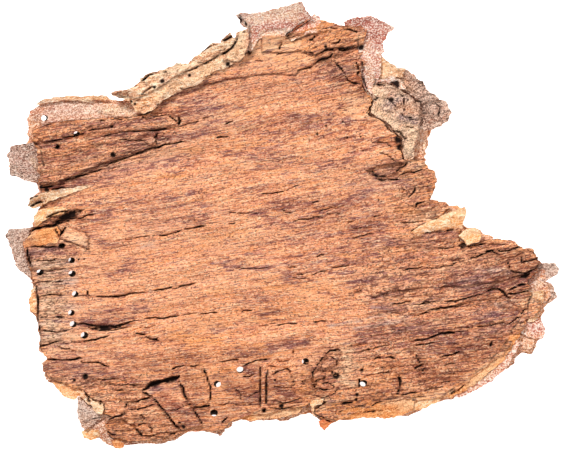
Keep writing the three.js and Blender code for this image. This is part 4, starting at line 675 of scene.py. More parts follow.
        (0.4, 7, 388, 205, 412, 210), (0.4, 8, 120, 288, 150, 282), (0.4, 4, 214, 208, 232, 220),
        (0.3, 8, 100, 262, 140, 252),
    ],
    "red": [
        (0.4, 6, 318, 370, 328, 384), (0.5, 5, 158, 384, 178, 410), (0.9, 4, 346, 23, 362, 21, 378, 24),
        (0.8, 4, 377, 26, 386, 33, 380, 44), (0.9, 4, 252, 30, 247, 42, 250, 50), (0.6, 4, 362, 58, 364, 76),
        (1, 2.5, 248, 46, 257, 34, 276, 29, 300, 26), (1, 5, 250, 44, 256, 34, 266, 29),
        (0.8, 4, 266, 27, 300, 24), (0.6, 4, 294, 30, 308, 25), (0.7, 9, 356, 22, 374, 30, 372, 56),
        (0.5, 8, 370, 60, 374, 80), (0.6, 6, 526, 328, 542, 328), (0.6, 5, 530, 282, 540, 272),
        (0.5, 8, 30, 112, 70, 108), (0.4, 8, 14, 152, 30, 170), (0.4, 3, 84, 393, 92, 400),
    ],
}

# Waves of relief: length along the grain, width across it, height, and the seed of the noise.
# Every list of waves below is made in the same way.
FACE_WAVES = [(38, 5.5, 0.75, 1), (80, 14, 0.7, 2)]
LOWER_WAVES = [(12, 7, 0.7, 3)]
UNDERSIDE_WAVES = [(26, 13, 0.6, 4)]
SCALE_WAVES = [(6, 5, 0.4, 5)]

# Outer scales: size of a scale along and across the grain, and the cracks between them
SCALE_LENGTH = 44
SCALE_WIDTH = 22
SCALE_GAP = 3
SCALE_COLUMNS = 4  # on each side of the middle
SCALE_ROWS = 6
SCALE_TILT = 0.07
SECOND_SCALE_CHANCE = 0.34
SECOND_SCALE_SHRINK = 0.35
SECOND_SCALE_DEPTH = 0.9
FLAKE_STEP = 0.28  # thickness of the flakes that lie on a scale
FLAKE_WAVES = [(7, 4.5, 2.2, 141), (2.8, 2, 1.1, 142)]

# Wavering of the fibres, and how much they fan out with each millimetre across
FIBRE_WAVES = [(34, 15, 1.1, 51)]
FIBRE_FAN = 0.0009
# Torn edges: splinters along the grain, and crumbs
SPLINTER_WAVES = [(7, 1.1, 1, 0), (2.6, 0.55, 0.6, 1)]
CRUMB_WAVES = [(1.3, 1.3, 0.5, 2)]
# Unevenness of plates, cracks and pits, of the tints' edges, and of torn sheets and seams
CRACK_SWAY_WAVES = [(1.7, 1.7, 0.26, 600), (0.7, 0.7, 0.12, 700)]
CRACK_SWELL_WAVES = [(2.6, 5, 0.4, 800)]
CRACK_BREAK_WAVES = [(1.1, 1.1, 0.45, 900)]
PIT_WAVES = [(0.6, 0.6, 0.25, 61)]
TINT_ALONG_WAVES = [(2.3, 0.7, 1, 91)]
TINT_ACROSS_WAVES = [(3.1, 0.9, 0.45, 92)]
TINT_CRUMB_WAVES = [(1.1, 1.1, 0.25, 93)]
TORN_WAVES = [(1.7, 0.9, 0.2, 5)]
SEAM_WAVES = [(2.1, 2.1, 0.5, 58)]
FACE_LUMP_WAVES = [(3.1, 1.7, 1, 38)]
FRINGE_WAVES = [(4, 3, 1, 59)]

# Sheets of fibre that have broken off: length, width, steps, thickness and seed. The first lie
# everywhere, the others in the worn zones.
TORN_SHEETS = [(46, 6.5, 2.6, 0.3, 21), (15, 3.4, 2.8, 0.42, 23), (7, 1.8, 2.2, 0.28, 24)]

FACE_CELL = (0.6, 0.31)  # grid cells along and across the grain
LEDGE_CELL = (0.7, 0.45)
OUTER_CELL = (1.0, 0.7)
RIM_CELL = (0.55, 0.45)

SEAM = 0.155  # the fibrous layer's two halves meet along this fibre, in the middle of a cell
LEDGES = 3  # thin layers that stick out from under the fibrous layer
LEDGE_REACH = 5  # how far they reach back under it
RIM_LOSS = 0.045  # share of the distance from the middle that the outer layers lose
SHARP_ANGLE = math.radians(55)
SMALLEST_SCRAP = 60  # triangles
TINY = 0.01
# painted shade on the walls of the exit holes
HOLE_WALL_SHADE = 0.75
CRACK_DEPTH = (0.6, 2.6)  # at no width, and what each millimetre of width adds
CRACK_SPREAD = 1.15  # worn edges make a crack wider than its gap
DEEPEST = -2.5  # cracks and hollows stay within the fibrous layer
LIP_DEPTH = 0.45  # how far the lips of a crack are rounded down
CRACK_SWAY_ALONG = 0.6  # share of the sway that goes along X
CRACK_FULL = 0.85  # share of its width and of its painted shade that a crack has on average
# What a crack straight across the grain gains in width, and in the reach of its painted shade
STEEP_SWELL = 0.12
STEEP_SHADE = 0.1
CRACK_SHADE_STRENGTH = (0.45, 1.1)  # strength of a crack's painted shade: at no width, and what each millimetre of width adds
CRACK_TAPER = 0.22  # share of its length over which a crack closes at each end
CRACK_WALL = 1.25  # half widths from a crack's middle to the foot of its wall
CRACK_SHADE = 1.5  # half widths that its painted shade covers
THINNEST = 0.05  # share of its width that a crack keeps at its ends
PIT_WALL = 1.4  # radii
# a pit's painted shade covers this many radii
PIT_SHADE = 1.7
PLATE_EDGE = 0.35  # width of the step round a raised plate
HOLLOW_EDGE = 0.6  # and round a sunken one
PLATE_ROUND = 0.28  # how far a plate's edge is rounded down
PLATE_ROUND_REACH = 0.9
PLATE_SHADE_REACH = 0.45
TALL_PLATE = 1.5  # lift from which the painted shadow at the foot of a plate is at its darkest
TINT_REACH = 2.2  # half widths of a stroke beyond which it doesn't show
WORN_FADE = 8  # width of the change from smooth to worn
WORN_MARGIN = 6
TORN_EDGE = (0.88, 0.12)  # where in a step of a torn sheet its edge starts, and its width
TORN_FOOT = (0.84, 0.08)  # the same for the shade at its foot
SEAM_REACH = 0.5
SEAM_DARK = 0.75
GAP_START = 1.8  # depth from which a hollow is an open gap
# painted shade in an open gap
GAP_SHADE = 0.95
# Height of the face's ridges, threads and lumps: where it is smooth, and what wear adds
RIDGE_HEIGHT = (0.3, 0.3)
THREAD_HEIGHT = 0.16
LUMP_HEIGHT = (0.1, 0.25)
FOOT_SINK = 0.5  # how far the face sinks at the foot of a plate
FOOT_SHADE = (0.42, 0.6)  # painted shade at the foot of a torn sheet's step: where the face is smooth, and what wear adds
FACE_TINT_STRAY = 2.2  # how far a tint's edge strays along the grain
LEDGE_TINT_STRAY = 1
RIM_TINT_STRAY = 0.6
FRINGE_REACH = 0.8  # width of the orange fringe round the face
HOLE_VARIETY = 0.2  # how much the holes differ in size
HOLE_SQUASH = 1.12  # they are a little wider than high
OUTWARD_STEP = 0.15


def place(points):
    """Pixels of the view from above, as millimetres."""
    return (np.array(points, float) - MIDDLE_PIXEL) * (MM_PER_PIXEL, -MM_PER_PIXEL)


def chance(i, j, seed):
    """Repeatable number from 0 to 1 for a whole-number place."""
    wave = np.sin(i * 127.1 + j * 311.7 + seed * 74.7) * 43758.5453
    return wave - np.floor(wave)


def ease(t):
    t = np.clip(t, 0, 1)
    return t * t * (3 - 2 * t)


def noise(x, y, seed):
    """Smooth noise from -1 to 1."""
    i, j = np.floor(x), np.floor(y)
    s, t = ease(x - i), ease(y - j)
    low = chance(i, j, seed) * (1 - s) + chance(i + 1, j, seed) * s
    high = chance(i, j + 1, seed) * (1 - s) + chance(i + 1, j + 1, seed) * s
    return 2 * (low * (1 - t) + high * t) - 1


def waves(x, y, rows, seed=0):
    """Sum of noises, where a row gives length along X, width along Y, height and seed."""
    total = 0
    for length, width, height, own in rows:
        total = total + height * noise(x / length, y / width, seed + own)
    return total


def across(x, y):
    return y - GRAIN_SLOPE * x


def fibre_line(x, y):
    """The same number all along one fibre: the fibres fan out a little and waver."""
    return y - x * (GRAIN_SLOPE + FIBRE_FAN * y) + waves(x, y, FIBRE_WAVES)


def streaks(x, y, length, width, seed, octaves=3):
    """Noise drawn out along the fibres, from -1 to 1."""
    side = fibre_line(x, y)
    total = 0
    for k in range(octaves):
        total = total + noise(x * 2**k / length, side * 2**k / width, seed + 40 * k) / 2**k
    return total / (2 - 2 ** (1 - octaves))


def bow(x, y):
    return across(x, y) ** 2 / (2 * TRUNK_RADIUS) + x**2 / (2 * LENGTHWISE_RADIUS)


def relief(rows, x, y):
    total = FACE_HEIGHT + bow(x, y)
    for length, width, height, seed in rows:
        total = total + height * noise(x / length, across(x, y) / width, seed)
    return total


def lower_top(x, y):
    return relief(LOWER_WAVES, x, y) - FACE_LAYER


def mid_level(x, y):
    return lower_top(x, y) - MIDDLE_SHARE * WOODY_LAYERS


def underside(x, y):
    return relief(UNDERSIDE_WAVES, x, y) - FACE_LAYER - WOODY_LAYERS


def close_to(x, y, points, margin):
    """Which places lie in the box round some points."""
    low, high = points.min(0) - margin, points.max(0) + margin
    return (x > low[0]) & (x < high[0]) & (y > low[1]) & (y < high[1])


def inside_depth(x, y, outline, margin=None):
    """Distance to an outline, positive inside it."""
    if margin is not None:
        near = close_to(x, y, outline, margin)
        depth = np.full(x.shape, -float(margin))
        if near.any():
            depth[near] = inside_depth(x[near], y[near], outline)
        return depth
    nearest = np.full(x.shape, np.inf)
    inside = np.zeros(x.shape, bool)
    for (ax, ay), (bx, by) in zip(outline, np.roll(outline, -1, 0)):
        ex, ey = bx - ax, by - ay
        t = np.clip(((x - ax) * ex + (y - ay) * ey) / (ex * ex + ey * ey), 0, 1)
        nearest = np.minimum(nearest, (x - ax - t * ex) ** 2 + (y - ay - t * ey) ** 2)
        if ay != by:
            crosses = ((ay > y) != (by > y)) & (x < ax + (y - ay) / ey * ex)
            inside ^= crosses
    return np.where(inside, 1, -1) * np.sqrt(nearest)


def line_distance(x, y, line):
    """Distance to a line, and how far along it the nearest point is, from 0 to 1."""
    steps = np.linalg.norm(np.diff(line, axis=0), axis=1)
    nearest = np.full(x.shape, np.inf)
    along = np.zeros(x.shape)
    for k, ((ax, ay), (bx, by)) in enumerate(zip(line[:-1], line[1:])):
        ex, ey = bx - ax, by - ay
        t = np.clip(((x - ax) * ex + (y - ay) * ey) / (ex * ex + ey * ey), 0, 1)
        gap = (x - ax - t * ex) ** 2 + (y - ay - t * ey) ** 2
        closer = gap < nearest
        nearest = np.where(closer, gap, nearest)
        along = np.where(closer, (steps[:k].sum() + t * steps[k]) / steps.sum(), along)
    return np.sqrt(nearest), along


def ragged(x, y, seed, amount=0.5):
    """How far a torn edge strays, in millimetres: in splinters along the grain."""
    side = fibre_line(x, y)
    coarse = waves(x, side, SPLINTER_WAVES, seed)
    return amount * (coarse + waves(x, y, CRUMB_WAVES, seed))


# Inner face


def plate_height(x, y, plates):
    """Height of raised and sunken plates, and how close below an edge a place lies, as the strength of a
    painted shadow there.
    """
    height = np.zeros(x.shape)
    edge = np.zeros(x.shape)
    for k, (lift, line) in enumerate(plates):
        outline = place(line)
        near = close_to(x, y, outline, 3)
        px, py = x[near], y[near]
        depth = inside_depth(px, py, outline) + ragged(px, py, seed=300 + 5 * k, amount=0.35)
        share = ease(depth / (PLATE_EDGE if lift > 0 else HOLLOW_EDGE) + 0.5)
        base = height[near]
        target = np.maximum(base, lift) if lift > 0 else np.minimum(base, lift)
        round_off = PLATE_ROUND * np.exp(-np.maximum(depth, 0) / PLATE_ROUND_REACH) * (lift > 0)
        height[near] = base + share * (target - round_off - base)
        below = -depth if lift > 0 else depth
        shade = np.exp(-((np.maximum(below, 0) / PLATE_SHADE_REACH) ** 2)) * (below > -0.2)
        edge[near] = np.maximum(edge[near], shade * min(abs(lift), TALL_PLATE) / TALL_PLATE)
    return height, edge


def crack_depth(x, y):
    """Depth of the cracks and pits, and the painted shade in them."""
    depth = np.zeros(x.shape)
    dark = np.zeros(x.shape)
    for k, (gap_width, *line) in enumerate(CRACKS):
        width = CRACK_SPREAD * gap_width
        path = place(points(*line))
        near = close_to(x, y, path, 4)
        if not near.any():
            continue
        px, py = x[near], y[near]
        sway = waves(px, py, CRACK_SWAY_WAVES, k)
        gap, along = line_distance(px + sway * CRACK_SWAY_ALONG, py + sway, path)
        span = np.abs(path[-1] - path[0])
        steep = span[1] / span.sum()
        taper = ease(along / CRACK_TAPER) * ease((1 - along) / CRACK_TAPER)
        swell = CRACK_FULL + waves(px, py, CRACK_SWELL_WAVES, k) + STEEP_SWELL * steep
        half = 0.5 * width * np.maximum(taper * swell, THINNEST)
        share = np.clip(CRACK_WALL - gap / half, 0, 1)
        round_off = np.exp(-gap / (0.25 + 0.5 * width)) * taper
        deep = CRACK_DEPTH[0] + CRACK_DEPTH[1] * width
        sunk = deep * share * np.sqrt(taper) + LIP_DEPTH * np.sqrt(width) * round_off
        depth[near] = np.maximum(depth[near], sunk)
        broken = CRACK_FULL + waves(px, py, CRACK_BREAK_WAVES, k)
        shade = np.clip(CRACK_SHADE - gap / (half + 0.05 + STEEP_SHADE * steep), 0, 1)
        shade = shade * np.clip(taper * 1.8, 0, 1) * broken
        darkest = min(1, CRACK_SHADE_STRENGTH[0] + CRACK_SHADE_STRENGTH[1] * width)
        dark[near] = np.maximum(dark[near], shade * darkest)
    for *at, radius, deep in PITS:
        middle = place(at)
        gap = np.hypot(x - middle[0], y - middle[1]) / radius
        gap = gap + waves(x, y, PIT_WAVES)
        depth = np.maximum(depth, deep * np.clip(PIT_WALL - gap, 0, 1))
        dark = np.maximum(dark, np.clip(PIT_SHADE - gap, 0, 1))
    return depth, dark


def tints(x, y, stretch):
    """Strength of each tint, with edges that stray along the grain by stretch millimetres."""
    side = fibre_line(x, y)
    px = x + stretch * waves(x, side, TINT_ALONG_WAVES)
    py = y + waves(x, side, TINT_ACROSS_WAVES) + waves(x, y, TINT_CRUMB_WAVES)
    found = {}
    for kind, strokes in STROKES.items():
        total = np.zeros(x.shape)
        for strength, half_width, *line in strokes:
            path = place(points(*line))
            half = half_width * MM_PER_PIXEL
            near = close_to(px, py, path, TINT_REACH * half)
            if not near.any():
                continue
            gap, _ = line_distance(px[near], py[near], path)
            total[near] = np.maximum(total[near], strength * np.exp(-((gap / half) ** 2)))
        found[kind] = total
    return found


def worn_share(x, y):
    """1 in the zones where the face is torn and rough, and 0 where it is smooth."""
    total = np.zeros(x.shape)
    for zone in WORN_ZONES:
        outline = place(zone)
        inside = inside_depth(x, y, outline, WORN_MARGIN)
        total = np.maximum(total, ease(inside / WORN_FADE + 0.5))
    return total


def torn_layers(x, y, worn):
    """Thin sheets of fibre that have broken off in flakes: height, and the feet of the steps, where shade is
    painted.
    """
    height = np.zeros(x.shape)
    foot = np.zeros(x.shape)
    for k, (length, width, steps, thick, seed) in enumerate(TORN_SHEETS):
        share = worn if k else np.ones(x.shape)
        level = steps * streaks(x, y, length, width, seed) + waves(x, y, TORN_WAVES, seed)
        whole = np.floor(level)
        rest = level - whole
        height = height + thick * share * (whole + ease((rest - TORN_EDGE[0]) / TORN_EDGE[1]))
        at_foot = np.clip(1.3 - np.abs(rest - TORN_FOOT[0]) / TORN_FOOT[1], 0, 1)
        foot = np.maximum(foot, share * at_foot)
    return height, foot


def seam_shade(x, y):
    """Dark line on the face along the rim pieces that lie over it."""
    shade = np.zeros(x.shape)
    for piece in RIM_PIECES:
        outline = place(piece.outline)
        near = close_to(x, y, outline, 1.5)
        if near.any():
            stray = ragged(x[near], y[near], seed=57, amount=0.2)
            gap = np.abs(inside_depth(x[near], y[near], outline) + stray)
            shade[near] = np.maximum(shade[near], np.exp(-((gap / SEAM_REACH) ** 2)))
    return SEAM_DARK * shade * (0.75 + waves(x, y, SEAM_WAVES))


def face_surface(x, y):
    """Height of the inner face, and its marks."""
    worn = worn_share(x, y)
    plates, below = plate_height(x, y, FACE_PLATES)
    cracks, dark = crack_depth(x, y)
    layers, foot = torn_layers(x, y, worn)
    ridges = streaks(x, y, length=15, width=1.5, seed=31)
    threads = streaks(x, y, length=6, width=0.62, seed=35, octaves=2)
    lumps = waves(x, y, FACE_LUMP_WAVES)
    height = relief(FACE_WAVES, x, y) + layers + np.maximum(plates - cracks, DEEPEST)
    height = height - FOOT_SINK * below
    height = height + (RIDGE_HEIGHT[0] + RIDGE_HEIGHT[1] * worn) * ridges + THREAD_HEIGHT * threads
    height = height + (LUMP_HEIGHT[0] + LUMP_HEIGHT[1] * worn) * lumps
    # painted shade in the open gap below a deep hollow
    gap = GAP_SHADE * ease((-GAP_START - plates) / HOLLOW_EDGE)
    marks = {
        # painted shade: cracks and pits, the open gap, and the seams along the rim pieces
        "dark": np.maximum(np.maximum(dark, gap), seam_shade(x, y)),
        # the edge mark is painted shadow at the feet of raised plates, inside the rims of sunken ones and at
        # the feet of the torn sheets' steps
        "edge": np.maximum(below, (FOOT_SHADE[0] + FOOT_SHADE[1] * worn) * foot),
        # the ridge mark follows the height of the ridges and threads, so the material paints the raised
        # fibres lighter and the grooves darker: painted light and shade
        "ridge": 0.5 * ridges + 0.5 * threads,
        "worn": worn,
    }
    found = tints(x, y, FACE_TINT_STRAY)
    fringe = np.exp(-((inside_depth(x, y, place(FACE)) / FRINGE_REACH) ** 2))
    fringe = fringe * (waves(x, y, FRINGE_WAVES) > -0.2)
    found["warm"] = np.maximum(found["warm"], fringe)
    return height, {**marks, **found}


# Meshes


def grid(outline, cell):
    """Places of a grid that follows the grain over the box of an outline, and its triangles."""
    low, high = outline.min(0) - 2, outline.max(0) + 2
    reach = GRAIN_SLOPE * max(abs(low[0]), abs(high[0]))
    us = np.arange(math.floor(low[0] / cell[0]), math.ceil(high[0] / cell[0]) + 1)
    vs = np.arange(math.floor((low[1] - reach) / cell[1]), math.ceil((high[1] + reach) / cell[1]) + 1)
    u, v = np.meshgrid(us * cell[0], vs * cell[1], indexing="ij")
    points = np.stack([u.ravel(), v.ravel() + GRAIN_SLOPE * u.ravel()], 1)
    rows = len(vs)
    corner = (np.arange(len(us) - 1)[:, None] * rows + np.arange(rows - 1)).ravel()
    a, b, c, d = corner, corner + rows, corner + rows + 1, corner + 1
    even = (us[corner // rows] + vs[corner % rows]) % 2 == 0
    first = np.where(even[:, None], np.stack([a, b, c], 1), np.stack([a, b, d], 1))
    second = np.where(even[:, None], np.stack([a, c, d], 1), np.stack([b, c, d], 1))
    return points, np.concatenate([first, second])


def clip_triangles(points, triangles, level):
    """Keeps the area where level is above 0, with new points on its edge."""
    level = np.where(np.abs(level) < TINY, -TINY, level)
    inside = level > 0
    count = inside[triangles].sum(1)
    whole = triangles[count == 3]
    cut = triangles[(count == 1) | (count == 2)]
    flags = inside[cut]
    odd = (flags == (flags.sum(1) == 1)[:, None]).argmax(1)
    cut = cut[np.arange(len(cut))[:, None], (odd[:, None] + np.arange(3)) % 3]
    a, b, c = cut.T
    edges = np.sort(np.concatenate([np.stack([a, b], 1), np.stack([a, c], 1)]), axis=1)
    keys, index = np.unique(edges, axis=0, return_inverse=True)
    index = index.reshape(-1)
    share = level[keys[:, 0]] / (level[keys[:, 0]] - level[keys[:, 1]])
    added = points[keys[:, 0]] + share[:, None] * (points[keys[:, 1]] - points[keys[:, 0]])
    ab, ac = len(points) + index[: len(cut)], len(points) + index[len(cut) :]
    alone = inside[a]
    corners = np.stack([a, ab, ac], 1)[alone]
    near_side = np.stack([ab, b, c], 1)[~alone]
    far_side = np.stack([ab, c, ac], 1)[~alone]
    return np.concatenate([points, added]), np.concatenate([whole, corners, near_side, far_side])


def group_of(count, triangles):
    """A number for each point, the same for all that hang together."""
    group = np.arange(count)
    while True:
        before = group.copy()
        low = group[triangles].min(1)
        for k in range(3):
            np.minimum.at(group, group[triangles[:, k]], low)
            np.minimum.at(group, triangles[:, k], low)
        group = group[group]
        if (group == before).all():
            return group


def drop_scraps(points, triangles, least):
    """Leaves out areas of fewer triangles than least, and points that nothing uses."""
    group = group_of(len(points), triangles)[triangles[:, 0]]
    names, index, count = np.unique(group, return_inverse=True, return_counts=True)
    triangles = triangles[count[index] >= least]
    used, index = np.unique(triangles, return_inverse=True)
    return points[used], index.reshape(-1, 3)


def border(triangles, count):
    """Edges that have a triangle on one side alone."""
    edges = np.concatenate([triangles[:, [0, 1]], triangles[:, [1, 2]], triangles[:, [2, 0]]])
    keys = edges[:, 0].astype(np.int64) * count + edges[:, 1]
    back = edges[:, 1].astype(np.int64) * count + edges[:, 0]
    return edges[~np.isin(keys, back)]


def outward(points, level):
    """Direction out of the area where level is above 0."""
    x, y = points.T
    slope_x = level(x - OUTWARD_STEP, y) - level(x + OUTWARD_STEP, y)
    slope_y = level(x, y - OUTWARD_STEP) - level(x, y + OUTWARD_STEP)
    size = np.maximum(np.hypot(slope_x, slope_y), 1e-6)
    return np.stack([slope_x / size, slope_y / size], 1)


def hole_gap(x, y, height):
    """Distance to the nearest exit hole's wall at a height, and that hole's number."""
    nearest = np.full(x.shape, np.inf)
    which = np.zeros(x.shape, int)
    for k, (at, drift) in enumerate(HOLES):
        middle = place(at)
        px = x - middle[0] - drift[0] * (height - FACE_HEIGHT)
        py = y - middle[1] - drift[1] * (height - FACE_HEIGHT)
        size = 1 + HOLE_VARIETY * (chance(k, 1, seed=61) - 0.5)
        gap = np.hypot(px, py * HOLE_SQUASH) - size * BORE / 2
        which = np.where(gap < nearest, k, which)
        nearest = np.minimum(nearest, gap)
    return nearest, which


def hole_shift(which, height):
    """Sideways place of a hole at a height, from its place on the face."""
    drift = np.array([drift for _, drift in HOLES])[which]
    return drift * (height - FACE_HEIGHT)[:, None]


def enclosed(points, starts, ends):
    """Which points lie inside closed loops of edges."""
    x, y = points.T
    inside = np.zeros(len(points), bool)
    for (ax, ay), (bx, by) in zip(starts, ends):
        if ay != by:
            inside ^= ((ay > y) != (by > y)) & (x < ax + (y - ay) / (by - ay) * (bx - ax))
    return inside


def fill_below(ring, edges, level, spacing):
    """Triangles over a coarse grid that close a sheet's underside inside its ring of points."""
    low, high = ring.min(0), ring.max(0)
    gx, gy = np.meshgrid(np.arange(low[0], high[0], spacing), np.arange(low[1], high[1], spacing))
    gx, gy = gx.ravel(), gy.ravel()
    deep = level(gx, gy) > 0.4 * spacing
    places = np.concatenate([ring, np.stack([gx[deep], gy[deep]], 1)])
    corners = [Vector(p) for p in places.tolist()]
    found = delaunay_2d_cdt(corners, edges.tolist(), [], 1, 1e-6, True)
    points = np.array([p[:] for p in found[0]])
    triangles = np.array(found[2])
    kept = enclosed(points[triangles].mean(1), ring[edges[:, 0]], ring[edges[:, 1]])
    source = np.array([ids[0] if ids else -1 for ids in found[3]])
    return points, triangles[kept], source


def shell(outline, level, top, under, cell, bored_at, rows, spread, seed, spacing=None, flip=1):
    """Closed sheet over the area where level is above 0: points, triangles and marks.
    top gives heights and marks, under the heights of the underside, and bored_at the height at
    which holes cut the sheet. Its side is made in rows that stray by about spread. A coarse
    underside gets the spacing of its points. With flip -1 it is built upside down."""

    def open_level(x, y):
        return np.minimum(level(x, y), hole_gap(x, y, bored_at(x, y))[0])

    points, triangles = grid(outline, cell)
    points, triangles = clip_triangles(points, triangles, open_level(*points.T))
    points, triangles = drop_scraps(points, triangles, SMALLEST_SCRAP)
    height, marks = top(*points.T)
    edges = border(triangles, len(points))
    ring, number = np.unique(edges, return_inverse=True)
    number = number.reshape(-1, 2)
    flat = points[ring]
    out = outward(flat, open_level)
    high, low = height[ring], under(*flat.T)
    gap, which = hole_gap(*flat.T, bored_at(*flat.T))
    at_hole = gap < level(*flat.T) - TINY
    free = ~at_hole & (np.abs(across(*flat.T) - SEAM) > TINY)
    start = hole_shift(which, bored_at(*flat.T))
    layers = []
    faces = [triangles]
    last = ring
    a, b = number.T
    for k in range(rows + 1):
        z = high + (low - high) * k / rows
        stray = spread * ragged(*flat.T, seed + 7 * k, 1.0) if k < rows else -0.5 * spread
        move = out * (stray * free * (k > 0))[:, None]
        move = move + (hole_shift(which, flip * z) - start) * at_hole[:, None]
        if k == 0:
            points[ring] += move
            layers.append(np.column_stack([points, height]))
            continue
        layers.append(np.column_stack([flat + move, z]))
        following = len(points) + (k - 1) * len(ring) + np.arange(len(ring))
        faces.append(np.stack([last[b], last[a], following[a]], 1))
        faces.append(np.stack([last[b], following[a], following[b]], 1))
        last = following
    total = len(points) + rows * len(ring)
    if spacing is None:
        inner = np.setdiff1d(np.arange(len(points)), ring)
        places = points[inner]
        lower = np.full(len(points), -1)
        lower[ring] = last
        lower[inner] = total + np.arange(len(inner))
        faces.append(lower[triangles][:, ::-1])
    else:
        found, filled, source = fill_below(layers[-1][:, :2], number, open_level, spacing)
        fresh = (source < 0) | (source >= len(ring))
        places = found[fresh]
        lower = np.full(len(found), -1)
        lower[~fresh] = last[source[~fresh]]
        lower[fresh] = total + np.arange(len(places))
        faces.append(lower[filled][:, ::-1])
    layers.append(np.column_stack([places, under(*places.T)]))
    count = rows * len(ring) + len(places)
    marks = {key: np.concatenate([value, np.zeros(count)]) for key, value in marks.items()}
    # painted shade on the walls of the exit holes
    marks["dark"][len(points) : total] = np.tile(HOLE_WALL_SHADE * at_hole, rows)
    marks["side"] = np.concatenate([np.zeros(len(points)), np.ones(count)])
    points, triangles = np.concatenate(layers), np.concatenate(faces)
    points[:, 2] *= flip
    return points, triangles[:, ::flip], marks


def store(name, parts, material):
    """One Blender piece from shells, in metres, which rides on the CAD body."""
    sizes = np.cumsum([0] + [len(points) for points, _, _ in parts])
    points = np.concatenate([points for points, _, _ in parts])
    triangles = np.concatenate([faces + start for (_, faces, _), start in zip(parts, sizes)])
    mesh = bpy.data.meshes.new(name)
    mesh.vertices.add(len(points))
    mesh.vertices.foreach_set("co", (points * MM).astype(np.float32).ravel())
    mesh.loops.add(triangles.size)
    mesh.loops.foreach_set("vertex_index", triangles.astype(np.int32).ravel())
    mesh.polygons.add(len(triangles))
    mesh.polygons.foreach_set("loop_start", np.arange(0, triangles.size, 3, dtype=np.int32))
    mesh.update(calc_edges=True)
    x, y, z = points.T
    lines = np.stack([x, fibre_line(x, y), z], 1)
    attribute = mesh.attributes.new("fibre", "FLOAT_VECTOR", "POINT")
    attribute.data.foreach_set("vector", lines.astype(np.float32).ravel())
    for key in sorted(parts[0][2]):
        values = [marks[key] for _, _, marks in parts]
        attribute = mesh.attributes.new(key, "FLOAT", "POINT")
        attribute.data.foreach_set("value", np.concatenate(values).astype(np.float32))
    mesh.polygons.foreach_set("use_smooth", np.ones(len(triangles), bool))
    mesh.set_sharp_from_angle(angle=SHARP_ANGLE)
    mesh.materials.append(material)
    obj = bpy.data.objects.new(name, mesh)
    bpy.context.scene.collection.objects.link(obj)
    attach(obj, "root")
    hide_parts("bark")


# Pieces

FLAKE_SEED = 20
FLAKE_TRIES = 1500
FLAKE_CORNERS = 7
FLAKE_MARGIN = 1.2  # between a chip's middle and the edge of the face or a hole
FLAKE_ROOT = 1.1  # how far a chip goes down, and the least that it reaches into the face
FLAKE_HOLD = 0.3
FLAKE_RISE = (0.12, 0.4)  # how far it stands off
FLAKE_SWING = 0.12  # radians off the grain
FLAKE_LEAN = 0.1
FLAKE_RAGGED = (0.72, 1.12)  # reach of its corners, as a share of its size
FLAKE_FOOT = 0.9  # size of its foot, as a share of its own
FLAKE_TONE = (-1.6, 1.8)  # darker or lighter than the face by this much
# painted shade round the foot of a chip
FLAKE_FOOT_SHADE = 0.35
SLIM_SHARE = 0.55  # share of the chips that are splinters
SPLINTER_SIZE = ((2.5, 8), (0.35, 0.8))  # length and width
CHIP_LENGTH = (1.2, 3.6)
CHIP_WIDTH = (0.4, 0.8)  # as a share of the length
SMOOTH_FLAKES = 0.08  # share of the chips that stay where the face is smooth
FACE_KEEL = 3.2  # how far the face's underside sinks into the layers below, inside its rim
LEDGE_SETBACK = (1.3, 0.6, 0.2)  # how far each ledge lies back from the rim, top one first
LEDGE_SHADE_REACH = 0.6  # shadow of the face on the ledge under it
LEDGE_WAVES = [(1.6, 1.4, 0.25, 113)]
LEDGE_CRUMB_WAVES = [(0.8, 0.7, 0.15, 114)]
RIND_WAVES = [(5, 4, 1, 116)]
# Waver of the scales' outlines along X and along Y, and their unevenness
SCALE_X_WAVES = [(5, 3, 0.9, 131), (1.7, 1.3, 0.4, 132)]
SCALE_Y_WAVES = [(5, 3, 0.7, 133), (1.7, 1.3, 0.35, 134)]
SCALE_GAP_WAVES = [(9, 7, 0.6, 139)]
SECOND_SCALE_WAVES = [(4, 3, 1.2, 135)]
SCALE_LUMP_WAVES = [(2.2, 1.6, 0.18, 136)]
SCALE_CRUMB_WAVES = [(0.9, 0.8, 0.1, 137)]
RING_WAVES = [(3, 2, 1.5, 138)]
RING_RATE = 2.6
SCALE_SHIFT = (0.55, 0.6)  # of a scale's middle, as a share of its length and its width
# Steps of a scale's edge: share of its depth, distance from the edge, and width
SCALE_STEPS = [(0.55, -0.25, 0.5), (0.2, 1.1, 0.4), (0.15, 2.6, 0.5), (0.1, 4.4, 0.7)]
# Rim pieces: chipped edges, lumps, and deep flaws along the grain and across it
CHIPPED_WAVES = [(1.9, 1.9, 0.35, 8), (0.9, 0.9, 0.25, 9)]
RIM_LUMP_WAVES = [(2.4, 1.8, 1, 3), (1.0, 0.8, 0.6, 4)]
FLAW_ALONG_WAVES = [(3.1, 0.9, 1, 5)]
FLAW_WAVES = [(1.1, 0.7, 0.5, 7)]


def face_part(sign):
    """The fibrous layer on one side of the seam."""
    outline = place(FACE)

    def level(x, y):
        edge = inside_depth(x, y, outline) + ragged(x, y, seed=71, amount=0.45)
        return np.minimum(edge, sign * (across(x, y) - SEAM))

    def middle(x, y):
        return relief(FACE_WAVES, x, y)

    def under(x, y):
        sunk = ease(inside_depth(x, y, outline) / LEDGE_REACH)
        return relief(LOWER_WAVES, x, y) - FACE_LAYER - 0.5 - FACE_KEEL * sunk

    sizes = {"rows": 4, "spread": 0.3, "seed": 80, "spacing": 5}
    return shell(outline, level, face_surface, under, FACE_CELL, middle, **sizes)


